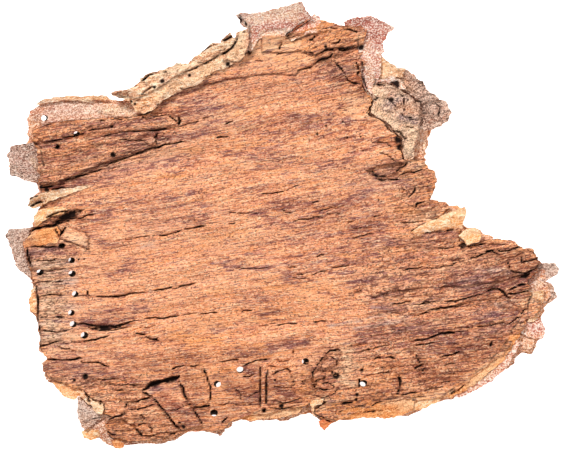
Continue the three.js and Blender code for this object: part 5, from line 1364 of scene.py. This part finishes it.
def ledge_part(number):
    """One of the thin layers that stick out from under the fibrous layer."""
    outline = place(RIM)
    face = place(FACE)
    thick = MIDDLE_SHARE * WOODY_LAYERS / LEDGES
    setback = LEDGE_SETBACK[number]

    def level(x, y):
        back = setback * (1 + streaks(x, y, length=12, width=3.5, seed=91 + number, octaves=2))
        stray = ragged(x, y, seed=94 + 5 * number, amount=0.4)
        edge = inside_depth(x, y, outline) - back + stray
        return np.minimum(edge, LEDGE_REACH - inside_depth(x, y, face))

    def top(x, y):
        plates, below = plate_height(x, y, RIM_PLATES)
        height = lower_top(x, y) - number * thick + plates
        height = height + 0.3 * streaks(x, y, length=9, width=1.4, seed=110 + number)
        height = height + waves(x, y, LEDGE_WAVES) + waves(x, y, LEDGE_CRUMB_WAVES)
        from_face = -inside_depth(x, y, face)
        shadow = 0.7 * np.exp(-((np.maximum(from_face, 0) / LEDGE_SHADE_REACH) ** 2))
        ridge = streaks(x, y, length=10, width=1.2, seed=115 + number)
        found = tints(x, y, LEDGE_TINT_STRAY)
        rind = np.exp(-((inside_depth(x, y, outline) - 1 - setback) / 1.1) ** 2)
        rind = rind * ease(waves(x, y, RIND_WAVES) + 0.7)
        found["warm"] = np.maximum(found["warm"], rind)
        return height, {"dark": shadow, "edge": below, "ridge": ridge, **found}

    def under(x, y):
        return lower_top(x, y) - (number + 1) * thick - 0.35

    sizes = {"rows": 2, "spread": 0.25, "seed": 120 + 20 * number, "spacing": 3}
    return shell(outline, level, top, under, LEDGE_CELL, lower_top, **sizes)


def scale_middles():
    """Middles of the outer scales, in columns and rows that are shifted at random."""
    i, j = np.meshgrid(
        np.arange(-SCALE_COLUMNS, SCALE_COLUMNS + 1), np.arange(-SCALE_ROWS, SCALE_ROWS + 1)
    )
    i, j = i.ravel(), j.ravel()
    u = (i + 0.5 * np.fmod(j, 2) + SCALE_SHIFT[0] * (chance(i, j, seed=11) - 0.5)) * SCALE_LENGTH
    v = (j + SCALE_SHIFT[1] * (chance(i, j, seed=12) - 0.5)) * SCALE_WIDTH
    return i, j, np.stack([u, v + GRAIN_SLOPE * u], 1)


def outer_surface(x, y):
    """Height of the outer bark's scales, seen from below, and their marks."""
    i, j, middles = scale_middles()
    wx = x + waves(x, y, SCALE_X_WAVES)
    wy = y + waves(x, y, SCALE_Y_WAVES)
    stretch = (SCALE_WIDTH / SCALE_LENGTH) ** 2
    gaps = np.array([(wx - mx) ** 2 * stretch + (wy - my) ** 2 for mx, my in middles])
    own = gaps.argmin(0)
    mine = middles[own]
    edge = np.full(x.shape, np.inf)
    for other in middles:
        away = other - mine
        same = np.abs(away).sum(1) < 1e-9
        normal = away * (stretch, 1)
        normal = normal / np.maximum(np.linalg.norm(normal, axis=1), 1e-9)[:, None]
        half = (other + mine) / 2
        gap = (half[:, 0] - wx) * normal[:, 0] + (half[:, 1] - wy) * normal[:, 1]
        edge = np.minimum(edge, np.where(same, np.inf, gap))
    edge = edge - SCALE_GAP / 2 * (0.75 + waves(x, y, SCALE_GAP_WAVES))
    ci, cj = i[own], j[own]
    low = SCALE_DEPTH * (0.6 + 0.7 * chance(ci, cj, seed=13))
    tilt = SCALE_TILT * (chance(ci, cj, seed=14) - 0.5)
    steps = sum(share * ease((edge - start) / width) for share, start, width in SCALE_STEPS)
    depth = steps * (low + tilt * (x - mine[:, 0]))
    second = (chance(ci, cj, seed=16) < SECOND_SCALE_CHANCE) & (edge > 0)
    inner = edge - SECOND_SCALE_SHRINK * SCALE_WIDTH * 0.5 + waves(x, y, SECOND_SCALE_WAVES)
    depth = depth + SECOND_SCALE_DEPTH * ease(inner / 0.5) * second
    flakes = torn_flakes(x, y)
    depth = depth + flakes * ease(edge)
    depth = depth + waves(x, y, SCALE_LUMP_WAVES) + waves(x, y, SCALE_CRUMB_WAVES)
    height = underside(x, y) - depth
    # painted shade in the crevices between the scales
    crevice = ease((0.5 - edge) / 1.2)
    rings = ease((np.sin(edge * RING_RATE + waves(x, y, RING_WAVES)) - 0.6) / 0.3)
    layer = np.floor(flakes / FLAKE_STEP + 0.5) % 3
    tone = 1.4 * chance(ci, cj, seed=19) - 1.2 + 0.6 * layer
    return height, {"dark": crevice, "edge": 0.5 * rings * (edge > 0), "ridge": tone}


def torn_flakes(x, y):
    """Thin flakes that lie on a scale, in steps."""
    level = waves(x, y, FLAKE_WAVES)
    whole = np.floor(level)
    return FLAKE_STEP * (whole + ease((level - whole - 0.85) / 0.15))


def outer_part():
    """The outer layers with their scales, which the piece lies on."""
    rim = place(RIM)
    every = rim[::2]
    loss = 1 - RIM_LOSS * chance(np.arange(len(every)), 0, seed=31)
    outline = every * loss[:, None]
    face = place(FACE)

    def level(x, y):
        return inside_depth(x, y, outline) + ragged(x, y, seed=151)

    def top(x, y):
        height, marks = outer_surface(x, y)
        return -np.maximum(height, 0), marks

    def under(x, y):
        filled = ease((inside_depth(x, y, face) - LEDGE_REACH + 1) / 3)
        low, high = mid_level(x, y) + 0.4, lower_top(x, y) - 0.3
        return -(low + (high - low) * filled)

    sizes = {"rows": 9, "spread": 0.35, "seed": 160, "spacing": 5, "flip": -1}
    return shell(outline, level, top, under, OUTER_CELL, underside, **sizes)


def rim_part(number, piece):
    """A piece of the rim that curls or stands up."""
    outline = place(piece.outline)
    side = np.array(piece.toward, float)
    side /= np.linalg.norm(side)
    reach = outline @ side
    seed = 400 + 11 * number

    def level(x, y):
        chipped = waves(x, y, CHIPPED_WAVES, seed)
        return inside_depth(x, y, outline) + ragged(x, y, seed, amount=0.2) + chipped

    def middle(x, y):
        t = (x * side[0] + y * side[1] - reach.min()) / (reach.max() - reach.min())
        return relief(SCALE_WAVES, x, y) + piece.height + piece.curl * np.clip(t, 0, 2) ** 2

    def top(x, y):
        rough = ROUGHNESS[piece.kind]
        lumps = waves(x, y, RIM_LUMP_WAVES, seed)
        deep = waves(x, fibre_line(x, y), FLAW_ALONG_WAVES, seed) + waves(x, y, FLAW_WAVES, seed)
        deep = ease((deep - 0.75) / 0.25)
        plates, below = plate_height(x, y, RIM_PLATES)
        cracks, dark = crack_depth(x, y)
        sunk = np.minimum(cracks + 0.9 * rough * deep, piece.thick - 0.5)
        height = middle(x, y) + rough * lumps + plates - sunk
        # painted shade in the deep flaws
        dark = np.maximum(dark, min(1, 1.1 * rough) * deep)
        # the ridge mark follows the height of the lumps, so the material paints raised lumps lighter and
        # hollows darker: painted light and shade
        return height, {"dark": dark, "edge": below, "ridge": lumps / 1.6, **tints(x, y, RIM_TINT_STRAY)}

    def under(x, y):
        return middle(x, y) - piece.thick

    sizes = {"rows": 3, "spread": 0.15, "seed": seed + 6}
    return shell(outline, level, top, under, RIM_CELL, middle, **sizes)


def small_flakes():
    """Chips and splinters that stand off the face, each one closed and rooted in it."""
    random = np.random.default_rng(FLAKE_SEED)
    outline = place(FACE)
    x, y = random.uniform(outline.min(0), outline.max(0), (FLAKE_TRIES, 2)).T
    keep = random.random(FLAKE_TRIES) < SMOOTH_FLAKES + (1 - SMOOTH_FLAKES) * worn_share(x, y)
    keep &= inside_depth(x, y, outline) > FLAKE_MARGIN
    keep &= hole_gap(x, y, FACE_HEIGHT)[0] > FLAKE_MARGIN
    x, y = x[keep], y[keep]
    height, marks = face_surface(x, y)
    count = len(x)
    turn = np.arctan(GRAIN_SLOPE + 2 * FIBRE_FAN * y) + random.normal(0, FLAKE_SWING, count)
    slim = random.random(count) < SLIM_SHARE
    length = np.where(
        slim, random.uniform(*SPLINTER_SIZE[0], count), random.uniform(*CHIP_LENGTH, count)
    )
    width = np.where(
        slim, random.uniform(*SPLINTER_SIZE[1], count), length * random.uniform(*CHIP_WIDTH, count)
    )
    angles = np.arange(FLAKE_CORNERS) / FLAKE_CORNERS * 2 * math.pi + 0.2
    reach = random.uniform(*FLAKE_RAGGED, (count, FLAKE_CORNERS)) / 2
    u, v = reach * np.cos(angles) * length[:, None], reach * np.sin(angles) * width[:, None]
    spread_x = u * np.cos(turn)[:, None] - v * np.sin(turn)[:, None]
    spread_y = u * np.sin(turn)[:, None] + v * np.cos(turn)[:, None]
    lean = random.uniform(-FLAKE_LEAN, FLAKE_LEAN, (2, count, 1))
    high = (height + random.uniform(*FLAKE_RISE, count))[:, None] + lean[0] * u + lean[1] * v
    around = np.stack([x[:, None] + spread_x, y[:, None] + spread_y, high], 2)
    root_x = x[:, None] + FLAKE_FOOT * spread_x
    root_y = y[:, None] + FLAKE_FOOT * spread_y
    ground = face_surface(root_x.ravel(), root_y.ravel())[0].reshape(root_x.shape)
    roots = np.stack([root_x, root_y, np.minimum(high - FLAKE_ROOT, ground - FLAKE_HOLD)], 2)
    points = np.concatenate([around, roots], 1).reshape(-1, 3)
    n = FLAKE_CORNERS
    fan = [(0, k, k + 1) for k in range(1, n - 1)]
    base = [(n, n + k + 1, n + k) for k in range(1, n - 1)]
    wall = [(k, n + k, (k + 1) % n) for k in range(n)]
    wall += [((k + 1) % n, n + k, n + (k + 1) % n) for k in range(n)]
    one = np.array(fan + base + wall)
    triangles = (one[None] + 2 * n * np.arange(count)[:, None, None]).reshape(-1, 3)
    marks = {key: np.repeat(value, 2 * n) for key, value in marks.items()}
    marks["ridge"] = marks["ridge"] + np.repeat(random.uniform(*FLAKE_TONE, count), 2 * n)
    # painted shade round the feet of the chips
    marks["dark"] = np.tile(np.repeat([0, FLAKE_FOOT_SHADE], n), count)
    marks["edge"] = np.zeros(len(points))
    marks["side"] = np.tile(np.repeat([0, 1], n), count)
    return points, triangles, marks


# Materials

FACE_TONES = [(0.0, (72, 38, 30)), (0.22, (138, 76, 53)), (0.42, (198, 119, 84)),
              (0.58, (231, 150, 107)), (0.76, (253, 181, 134)), (1.0, (255, 212, 170))]
BARE_TONES = {
    "cork": [(0.0, (92, 48, 30)), (0.25, (172, 102, 66)), (0.5, (228, 160, 116)),
             (0.75, (253, 206, 160)), (1.0, (255, 238, 210))],
    "pink": [(0.0, (128, 64, 50)), (0.3, (194, 120, 98)), (0.5, (224, 158, 132)),
             (0.7, (243, 198, 174)), (1.0, (255, 236, 218))],
    "cream": [(0.0, (150, 88, 52)), (0.3, (222, 158, 106)), (0.6, (250, 204, 154)),
              (1.0, (255, 238, 206))],
    "rough": [(0.0, (58, 42, 36)), (0.3, (134, 98, 82)), (0.55, (192, 146, 124)),
              (0.8, (230, 186, 160)), (1.0, (250, 222, 202))],
    "grey": [(0.0, (84, 60, 48)), (0.3, (146, 108, 88)), (0.55, (196, 152, 130)),
             (0.8, (222, 186, 166)), (1.0, (240, 218, 204))],
    "crust": [(0.0, (62, 44, 40)), (0.25, (130, 94, 78)), (0.5, (196, 142, 112)),
              (0.75, (236, 182, 146)), (1.0, (254, 222, 192))],
    "orange": [(0.0, (136, 66, 30)), (0.3, (206, 118, 66)), (0.6, (236, 150, 90)),
               (1.0, (255, 196, 136))],
    "red": [(0.0, (120, 44, 24)), (0.35, (196, 84, 48)), (0.65, (228, 118, 78)),
            (1.0, (250, 164, 120))],
    "yellow": [(0.0, (180, 100, 52)), (0.35, (240, 166, 104)), (0.65, (254, 204, 150)),
               (1.0, (255, 234, 198))],
    "ledge": [(0.0, (122, 66, 42)), (0.3, (198, 130, 90)), (0.55, (234, 170, 128)),
              (0.8, (248, 204, 164)), (1.0, (255, 230, 200))],
    "outer": [(0.0, (44, 30, 25)), (0.3, (98, 66, 52)), (0.5, (142, 100, 80)),
              (0.7, (176, 134, 112)), (1.0, (216, 184, 164))],
}
TORN_TONES = [(0.0, (104, 58, 38)), (0.3, (176, 110, 76)), (0.55, (224, 158, 110)),
              (0.8, (246, 192, 138)), (1.0, (255, 222, 178))]
# Colours of a layer's pale and dark specks, and of its mottles
SPECKS = {
    "cork": ((255, 232, 202), (122, 74, 52), (232, 158, 112)),
    "pink": ((255, 240, 226), (172, 92, 78), (230, 164, 138)),
    "cream": ((255, 238, 214), (186, 124, 88), (250, 196, 148)),
    "grey": ((240, 214, 196), (104, 76, 66), (204, 148, 124)),
    "crust": ((252, 212, 182), (84, 70, 68), (220, 132, 88)),
    "rough": ((244, 206, 182), (72, 56, 50), (204, 134, 104)),
    "orange": ((255, 200, 146), (150, 74, 40), (238, 146, 84)),
    "red": ((248, 160, 116), (130, 50, 32), (214, 98, 60)),
    "yellow": ((255, 236, 200), (206, 124, 66), (246, 166, 94)),
    "ledge": ((255, 228, 210), (150, 92, 76), (232, 158, 124)),
}
# Height of the lumps on a rim piece, in millimetres
ROUGHNESS = {
    "cork": 0.7,
    "pink": 0.14,
    "cream": 0.35,
    "grey": 0.25,
    "rough": 0.6,
    "crust": 0.8,
    "yellow": 0.35,
    "orange": 0.35,
    "red": 0.3,
}
TORN_KINDS = ("cork", "cream", "yellow", "orange", "red")  # fibres laid bare, with few specks
START_TONE = {"crust": 0.66, "cork": 0.62, "ledge": 0.62}
# Painted shade: its colour on the face, rim pieces and ledges, then on the outer scales
PAINTED_SHADE_COLOUR = (34, 17, 11)
SCALE_SHADE_COLOUR = (40, 24, 18)
# colours of the painted shadow at the feet of plates and steps
FACE_STEP_SHADE_COLOUR = (84, 42, 30)
BARE_STEP_SHADE_COLOUR = (70, 40, 30)
ORANGE_PATCH = (252, 160, 96)
ROSY_PATCH = (204, 134, 120)
DASH_COLOUR = (160, 146, 178)
FLECK_COLOUR = (255, 214, 178)
HAIR_COLOUR = (146, 90, 74)
DOT_COLOUR = (84, 46, 40)
RUST_COLOUR = (178, 106, 72)
# What each kind of stroke does to the colour under it: colour, share and way of mixing
TINTS = {
    "light": ((255, 189, 146), 0.75, "MIX"),
    "warm": ((246, 160, 88), 0.68, "MIX"),
    # umber darkens both for the bark's brown and for painted shade
    "umber": ((156, 118, 100), 1.0, "MULTIPLY"),
    "red": ((200, 120, 114), 1.0, "MULTIPLY"),
    "grey": ((212, 184, 168), 0.9, "MIX"),
    "purple": ((192, 180, 212), 0.85, "MULTIPLY"),
    "pale": ((254, 214, 172), 0.9, "MIX"),
}


LEAST_TINT = 0.35  # share of a stroke's tint that stays where noise thins it most
TINT_EDGE = (0.4, 0.62)  # noise between which a tint rises
MATT = 0.88  # roughness
SHINE = 0.22
FACE_TONE = 0.675  # where in its tones the face lies on average
TYPICAL_TONE = 0.58  # and another layer
OUTER_TONE = 0.55


def linear(colour):
    """Scene colour from numbers from 0 to 255."""
    share = np.array(colour) / 255
    value = np.where(share <= 0.04045, share / 12.92, ((share + 0.055) / 1.055) ** 2.4)
    return (*value.tolist(), 1)


class Look:
    """A material and the nodes that are added to it."""

    def __init__(self, name):
        self.material = bpy.data.materials.new(name)
        self.material.use_nodes = True
        self.tree = self.material.node_tree
        self.tree.nodes.clear()
        self.fibre = self.add("Attribute", attribute_name="fibre").outputs["Vector"]

    def add(self, kind, inputs=None, **settings):
        node = self.tree.nodes.new("ShaderNode" + kind)
        for key, value in settings.items():
            setattr(node, key, value)
        for key, value in (inputs or {}).items():
            if isinstance(value, bpy.types.NodeSocket):
                self.tree.links.new(value, node.inputs[key])
            else:
                node.inputs[key].default_value = value
        return node

    def mark(self, name):
        return self.add("Attribute", attribute_name=name).outputs["Fac"]

    def noise(self, size, seed=0, detail=3.0, rough=0.55):
        """Noise from 0 to 1 whose patches have a size along the fibres, across them and up."""
        scale = tuple(1 / s for s in size)
        shifted = self.add("VectorMath", {0: self.fibre, 1: (17.3 * seed, 9.1 * seed, 5.7 * seed)})
        scaled = self.add("VectorMath", {0: shifted.outputs[0], 1: scale}, operation="MULTIPLY")
        inputs = {"Vector": scaled.outputs[0], "Scale": 1.0, "Detail": detail, "Roughness": rough}
        return self.add("TexNoise", inputs).outputs["Fac"]

    def math(self, operation, a, b, clamp=False):
        return self.add("Math", {0: a, 1: b}, operation=operation, use_clamp=clamp).outputs[0]

    def total(self, start, *terms):
        """start plus each value times its weight, where a value of noise counts from its middle."""
        result = start
        for value, weight, middle in terms:
            centred = self.math("SUBTRACT", value, middle)
            result = self.math("ADD", result, self.math("MULTIPLY", centred, weight))
        return result

    def rise(self, value, low, high):
        """0 up to low, 1 from high on, and smooth between them."""
        inputs = {"Value": value, "From Min": low, "From Max": high}
        return self.add("MapRange", inputs, interpolation_type="SMOOTHSTEP").outputs["Result"]

    def mix(self, factor, a, b, blend="MIX"):
        node = self.add("Mix", data_type="RGBA", blend_type=blend)
        for index, value in ((0, factor), (6, a), (7, b)):
            if isinstance(value, bpy.types.NodeSocket):
                self.tree.links.new(value, node.inputs[index])
            else:
                node.inputs[index].default_value = value
        return node.outputs[2]

    def over(self, colour, value, share, tint, blend="MIX"):
        """A tint over a colour, by a share of a value."""
        return self.mix(self.math("MULTIPLY", value, share), colour, linear(tint), blend)

    def ramp(self, value, tones):
        node = self.add("ValToRGB", {"Fac": value})
        elements = node.color_ramp.elements
        while len(elements) < len(tones):
            elements.new(0.5)
        for element, (at, colour) in zip(elements, tones):
            element.position = at
            element.color = linear(colour)
        return node.outputs["Color"]

    def tint(self, colour, rough, least=LEAST_TINT):
        """The strokes' tints over a colour, thinned by noise down to a least share."""
        for kind, (tint, share, blend) in TINTS.items():
            spread = self.rise(rough[kind], *TINT_EDGE)
            spread = self.math("ADD", self.math("MULTIPLY", spread, share * (1 - least)), share * least)
            factor = self.math("MULTIPLY", self.mark(kind), spread)
            colour = self.mix(factor, colour, linear(tint), blend)
        return colour

    def finish(self, colour, height, depth, roughness=MATT):
        """Dry matt surface with a fine relief of the given depth in millimetres."""
        bump = self.add("Bump", {"Strength": 1.0, "Distance": depth * MM, "Height": height})
        inputs = {"Base Color": colour, "Roughness": roughness, "Normal": bump.outputs["Normal"]}
        shader = self.add("BsdfPrincipled", inputs)
        shader.inputs["Specular IOR Level"].default_value = SHINE
        output = self.add("OutputMaterial")
        self.tree.links.new(shader.outputs[0], output.inputs["Surface"])
        return self.material


def torn_side(look):
    """Colour of a torn edge: thin layers one above the other."""
    layers = look.noise((9, 6, 0.5), seed=11, detail=3)
    fine = look.noise((2.5, 1.5, 0.25), seed=12, detail=2)
    value = look.total(0.5, (layers, 1.6, 0.5), (fine, 0.9, 0.5))
    return look.ramp(value, TORN_TONES)


def face_material():
    look = Look("fibrous inner face")
    long = look.noise((30, 3.0, 12), seed=1, detail=4, rough=0.6)
    thread = look.noise((14, 0.8, 9), seed=2, detail=4, rough=0.65)
    fine = look.noise((2.6, 0.42, 3), seed=3, detail=2, rough=0.6)
    speck = look.noise((0.8, 0.52, 1), seed=4, detail=1, rough=0.6)
    worn = look.mark("worn")
    # the ridge mark paints the raised fibres lighter and the grooves darker, painted light and shade; on the
    # chips it also gives each a tone of its own
    tone = look.total(FACE_TONE, (long, 0.45, 0.5), (thread, 0.75, 0.5), (fine, 0.6, 0.5),
                      (speck, 1.3, 0.5), (look.mark("ridge"), 0.09, 0.0), (worn, 0.02, 0.0))
    colour = look.ramp(tone, FACE_TONES)
    streak = look.noise((7, 0.75, 6), seed=5, detail=4, rough=0.62)
    patch = look.noise((15, 2.2, 9), seed=6, detail=3, rough=0.6)
    orange = look.rise(look.noise((9, 0.9, 8), seed=13, detail=3, rough=0.6), 0.5, 0.62)
    colour = look.over(colour, orange, 0.5, ORANGE_PATCH)
    rosy = look.rise(look.noise((6, 0.8, 6), seed=14, detail=3, rough=0.6), 0.53, 0.65)
    colour = look.over(colour, rosy, 0.45, ROSY_PATCH)
    rough = dict.fromkeys(TINTS, patch)
    rough.update(grey=streak, umber=streak, pale=streak)
    colour = look.tint(colour, rough)
    # Dashes of grey purple, thick in the strokes and thin elsewhere
    dash = look.noise((4.2, 0.62, 3), seed=7, detail=2, rough=0.6)
    amount = look.total(0.0, (dash, 1.0, 0.0), (look.mark("purple"), 0.13, 0.0), (patch, 0.25, 0.5),
                        (look.mark("umber"), 0.06, 0.0), (long, 0.12, 0.5))
    colour = look.over(colour, look.rise(amount, 0.585, 0.645), 0.85, DASH_COLOUR, "MULTIPLY")
    flecks = look.rise(look.noise((1.6, 0.4, 1), seed=8, detail=2, rough=0.6), 0.58, 0.66)
    colour = look.over(colour, flecks, 0.6, FLECK_COLOUR)
    hairs = look.total(0.0, (look.noise((7, 0.42, 4), seed=15, detail=1), 1.0, 0.0), (worn, 0.03, 0.0))
    hairs = look.rise(hairs, 0.57, 0.65)
    colour = look.over(colour, hairs, 0.5, HAIR_COLOUR)
    dots = look.total(0.0, (look.noise((0.8, 0.6, 1), seed=10, detail=0), 1.0, 0.0), (worn, 0.05, 0.0))
    dots = look.rise(dots, 0.66, 0.74)
    colour = look.over(colour, dots, 0.7, DOT_COLOUR)
    colour = look.mix(look.mark("side"), colour, torn_side(look))
    # painted shadow at the feet of plates and of the torn sheets' steps
    edge = look.math("MULTIPLY", look.mark("edge"), look.rise(streak, 0.3, 0.6))
    colour = look.over(colour, edge, 0.75, FACE_STEP_SHADE_COLOUR)
    # painted shade in cracks, pits, hole walls and the open gap, along the rim pieces' seams and round the
    # chips' feet
    colour = look.mix(look.rise(look.mark("dark"), 0.1, 0.95), colour, linear(PAINTED_SHADE_COLOUR))
    height = look.total(0.0, (thread, 0.8, 0.5), (fine, 0.8, 0.5), (speck, 0.6, 0.5),
                        (streak, 0.6, 0.5))
    return look.finish(colour, height, 0.7)


def bare_material(kind):
    """A scale, cork or ledge laid bare, in its own tones."""
    look = Look(kind + " layer")
    cloud = look.noise((9, 5, 5), seed=1, detail=4, rough=0.6)
    grain = look.noise((1.6, 1.1, 1.1), seed=2, detail=3, rough=0.6)
    speck = look.noise((0.7, 0.55, 0.55), seed=3, detail=1, rough=0.6)
    torn = kind in TORN_KINDS
    weight = 1.1 if torn else 2.6
    lined = 2.0 if torn else 0.3
    spotted = 0.35 if torn else 0.6
    streak = look.noise((5, 0.7, 3), seed=6, detail=3, rough=0.6)
    # On the rim pieces the ridge mark follows the height of their lumps, painted light and shade; on the
    # ledges it is a tone of their own
    tone = look.total(START_TONE.get(kind, TYPICAL_TONE), (cloud, 1.2, 0.5), (grain, 1.2, 0.5),
                      (speck, weight, 0.5), (streak, lined, 0.5), (look.mark("ridge"), 0.14, 0.0))
    colour = look.ramp(tone, BARE_TONES[kind])
    pale, deep, hue = SPECKS[kind]
    mottle = look.rise(look.noise((3.4, 2.4, 2.4), seed=5, detail=3, rough=0.65), 0.52, 0.6)
    colour = look.over(colour, mottle, 0.6, hue)
    colour = look.tint(colour, dict.fromkeys(TINTS, grain), 0.6)
    spots = look.noise((0.6, 0.5, 0.5), seed=4, detail=1, rough=0.6)
    colour = look.over(colour, look.rise(spots, 0.52, 0.58), spotted, pale)
    colour = look.over(colour, look.rise(spots, 0.47, 0.41), spotted, deep)
    flaw = look.rise(look.noise((2.6, 1.1, 1.1), seed=9, detail=3, rough=0.65), 0.6, 0.66)
    colour = look.over(colour, flaw, 0.7, deep)
    chip = look.rise(look.noise((3.0, 1.3, 1.3), seed=10, detail=3, rough=0.65), 0.6, 0.64)
    colour = look.over(colour, chip, 0.7, pale)
    colour = look.mix(look.math("MULTIPLY", look.mark("side"), 0.75), colour, torn_side(look))
    # painted shadow at the feet of the steps on the rim pieces and ledges
    edge = look.math("MULTIPLY", look.mark("edge"), look.rise(grain, 0.3, 0.55))
    colour = look.over(colour, edge, 0.75, BARE_STEP_SHADE_COLOUR)
    # painted shade in cracks, pits, flaws and hole walls, and where the fibrous layer overhangs a ledge
    colour = look.mix(look.rise(look.mark("dark"), 0.1, 0.95), colour, linear(PAINTED_SHADE_COLOUR))
    height = look.total(0.0, (cloud, 0.8, 0.5), (grain, 1.2, 0.5), (speck, 0.8, 0.5))
    return look.finish(colour, height, 0.7)


def outer_material():
    look = Look("outer scales")
    cloud = look.noise((22, 14, 12), seed=1, detail=4, rough=0.6)
    grain = look.noise((3.2, 1.8, 1.8), seed=2, detail=4, rough=0.62)
    speck = look.noise((0.8, 0.6, 0.6), seed=3, detail=2)
    tone = look.total(OUTER_TONE, (cloud, 1.0, 0.5), (grain, 0.9, 0.5), (speck, 0.6, 0.5),
                      (look.mark("ridge"), 0.15, 0.0))
    colour = look.ramp(tone, BARE_TONES["outer"])
    rust = look.noise((12, 8, 8), seed=4, detail=3)
    rust = look.total(0.0, (rust, 1.0, 0.0), (look.mark("edge"), 0.3, 0.0))
    colour = look.over(colour, look.rise(rust, 0.5, 0.72), 0.6, RUST_COLOUR)
    colour = look.mix(look.math("MULTIPLY", look.mark("side"), 0.85), colour, torn_side(look))
    # painted shade in the crevices between the scales and on the hole walls
    colour = look.mix(look.rise(look.mark("dark"), 0.1, 1.0), colour, linear(SCALE_SHADE_COLOUR))
    height = look.total(0.0, (grain, 1.0, 0.5), (speck, 0.6, 0.5))
    return look.finish(colour, height, 0.5)


# Stage

CAMERA_HEIGHT = 1600  # above the resting plane
SENSOR = 36
CAMERA_REACH = 20  # metres
FLOOR_SIZE = 6000
FLOOR_COLOUR = (250, 250, 250)
FLOOR_GLOW = 0.9
KEY_LIGHT = ((-420, 620, 900), 240, 12.2)  # place, size and power in watts
FILL_LIGHT = ((700, -300, 1100), 900, 4.2)
STUDIO_GLOW = 0.5


def stage_floor():
    half = FLOOR_SIZE / 2 * MM
    corners = [(-half, -half, 0), (half, -half, 0), (half, half, 0), (-half, half, 0)]
    mesh = bpy.data.meshes.new("floor")
    mesh.from_pydata(corners, [], [(0, 1, 2, 3)])
    look = Look("pale floor")
    shader = look.add("BsdfPrincipled", {"Base Color": linear(FLOOR_COLOUR), "Roughness": 0.9})
    shader.inputs["Emission Color"].default_value = (1, 1, 1, 1)
    shader.inputs["Emission Strength"].default_value = FLOOR_GLOW
    output = look.add("OutputMaterial")
    look.tree.links.new(shader.outputs[0], output.inputs["Surface"])
    mesh.materials.append(look.material)
    floor = bpy.data.objects.new("floor", mesh)
    bpy.context.scene.collection.objects.link(floor)


def stage_light(name, position, size, power):
    light = bpy.data.lights.new(name, "AREA")
    light.shape = "DISK"
    light.size = size * MM
    light.energy = power
    obj = bpy.data.objects.new(name, light)
    obj.location = [c * MM for c in position]
    obj.rotation_euler = (-Vector(obj.location)).to_track_quat("-Z", "Y").to_euler()
    bpy.context.scene.collection.objects.link(obj)


def stage_world():
    world = bpy.data.worlds.new("studio")
    world.use_nodes = True
    background = world.node_tree.nodes["Background"]
    background.inputs["Color"].default_value = (1, 1, 1, 1)
    background.inputs["Strength"].default_value = STUDIO_GLOW
    bpy.context.scene.world = world


def stage_camera():
    """Looks straight down, so that the face fills the frame as in the view from above."""
    camera = bpy.data.cameras.new("camera")
    camera.sensor_width = SENSOR
    distance = CAMERA_HEIGHT - FACE_HEIGHT
    camera.lens = SENSOR * distance / (VIEW_SIZE[0] * MM_PER_PIXEL)
    camera.clip_end = CAMERA_REACH
    middle = place([[VIEW_SIZE[0] / 2, VIEW_SIZE[1] / 2]])[0]
    obj = bpy.data.objects.new("camera", camera)
    obj.location = (middle[0] * MM, middle[1] * MM, CAMERA_HEIGHT * MM)
    bpy.context.scene.collection.objects.link(obj)
    bpy.context.scene.camera = obj


def build():
    face = face_material()
    store("face_upper", [face_part(1)], face)
    store("face_lower", [face_part(-1)], face)
    store("small_flakes", [small_flakes()], face)
    torn = bare_material("ledge")
    for number in range(LEDGES):
        store("ledge_%d" % (number + 1), [ledge_part(number)], torn)
    store("outer_scales", [outer_part()], outer_material())
    for kind in ROUGHNESS:
        parts = [rim_part(k, p) for k, p in enumerate(RIM_PIECES) if p.kind == kind]
        store(kind + "_rim", parts, bare_material(kind))


stage_floor()
stage_world()
stage_light("key", *KEY_LIGHT)
stage_light("fill", *FILL_LIGHT)
stage_camera()
bpy.context.scene.view_settings.view_transform = "Standard"
build()
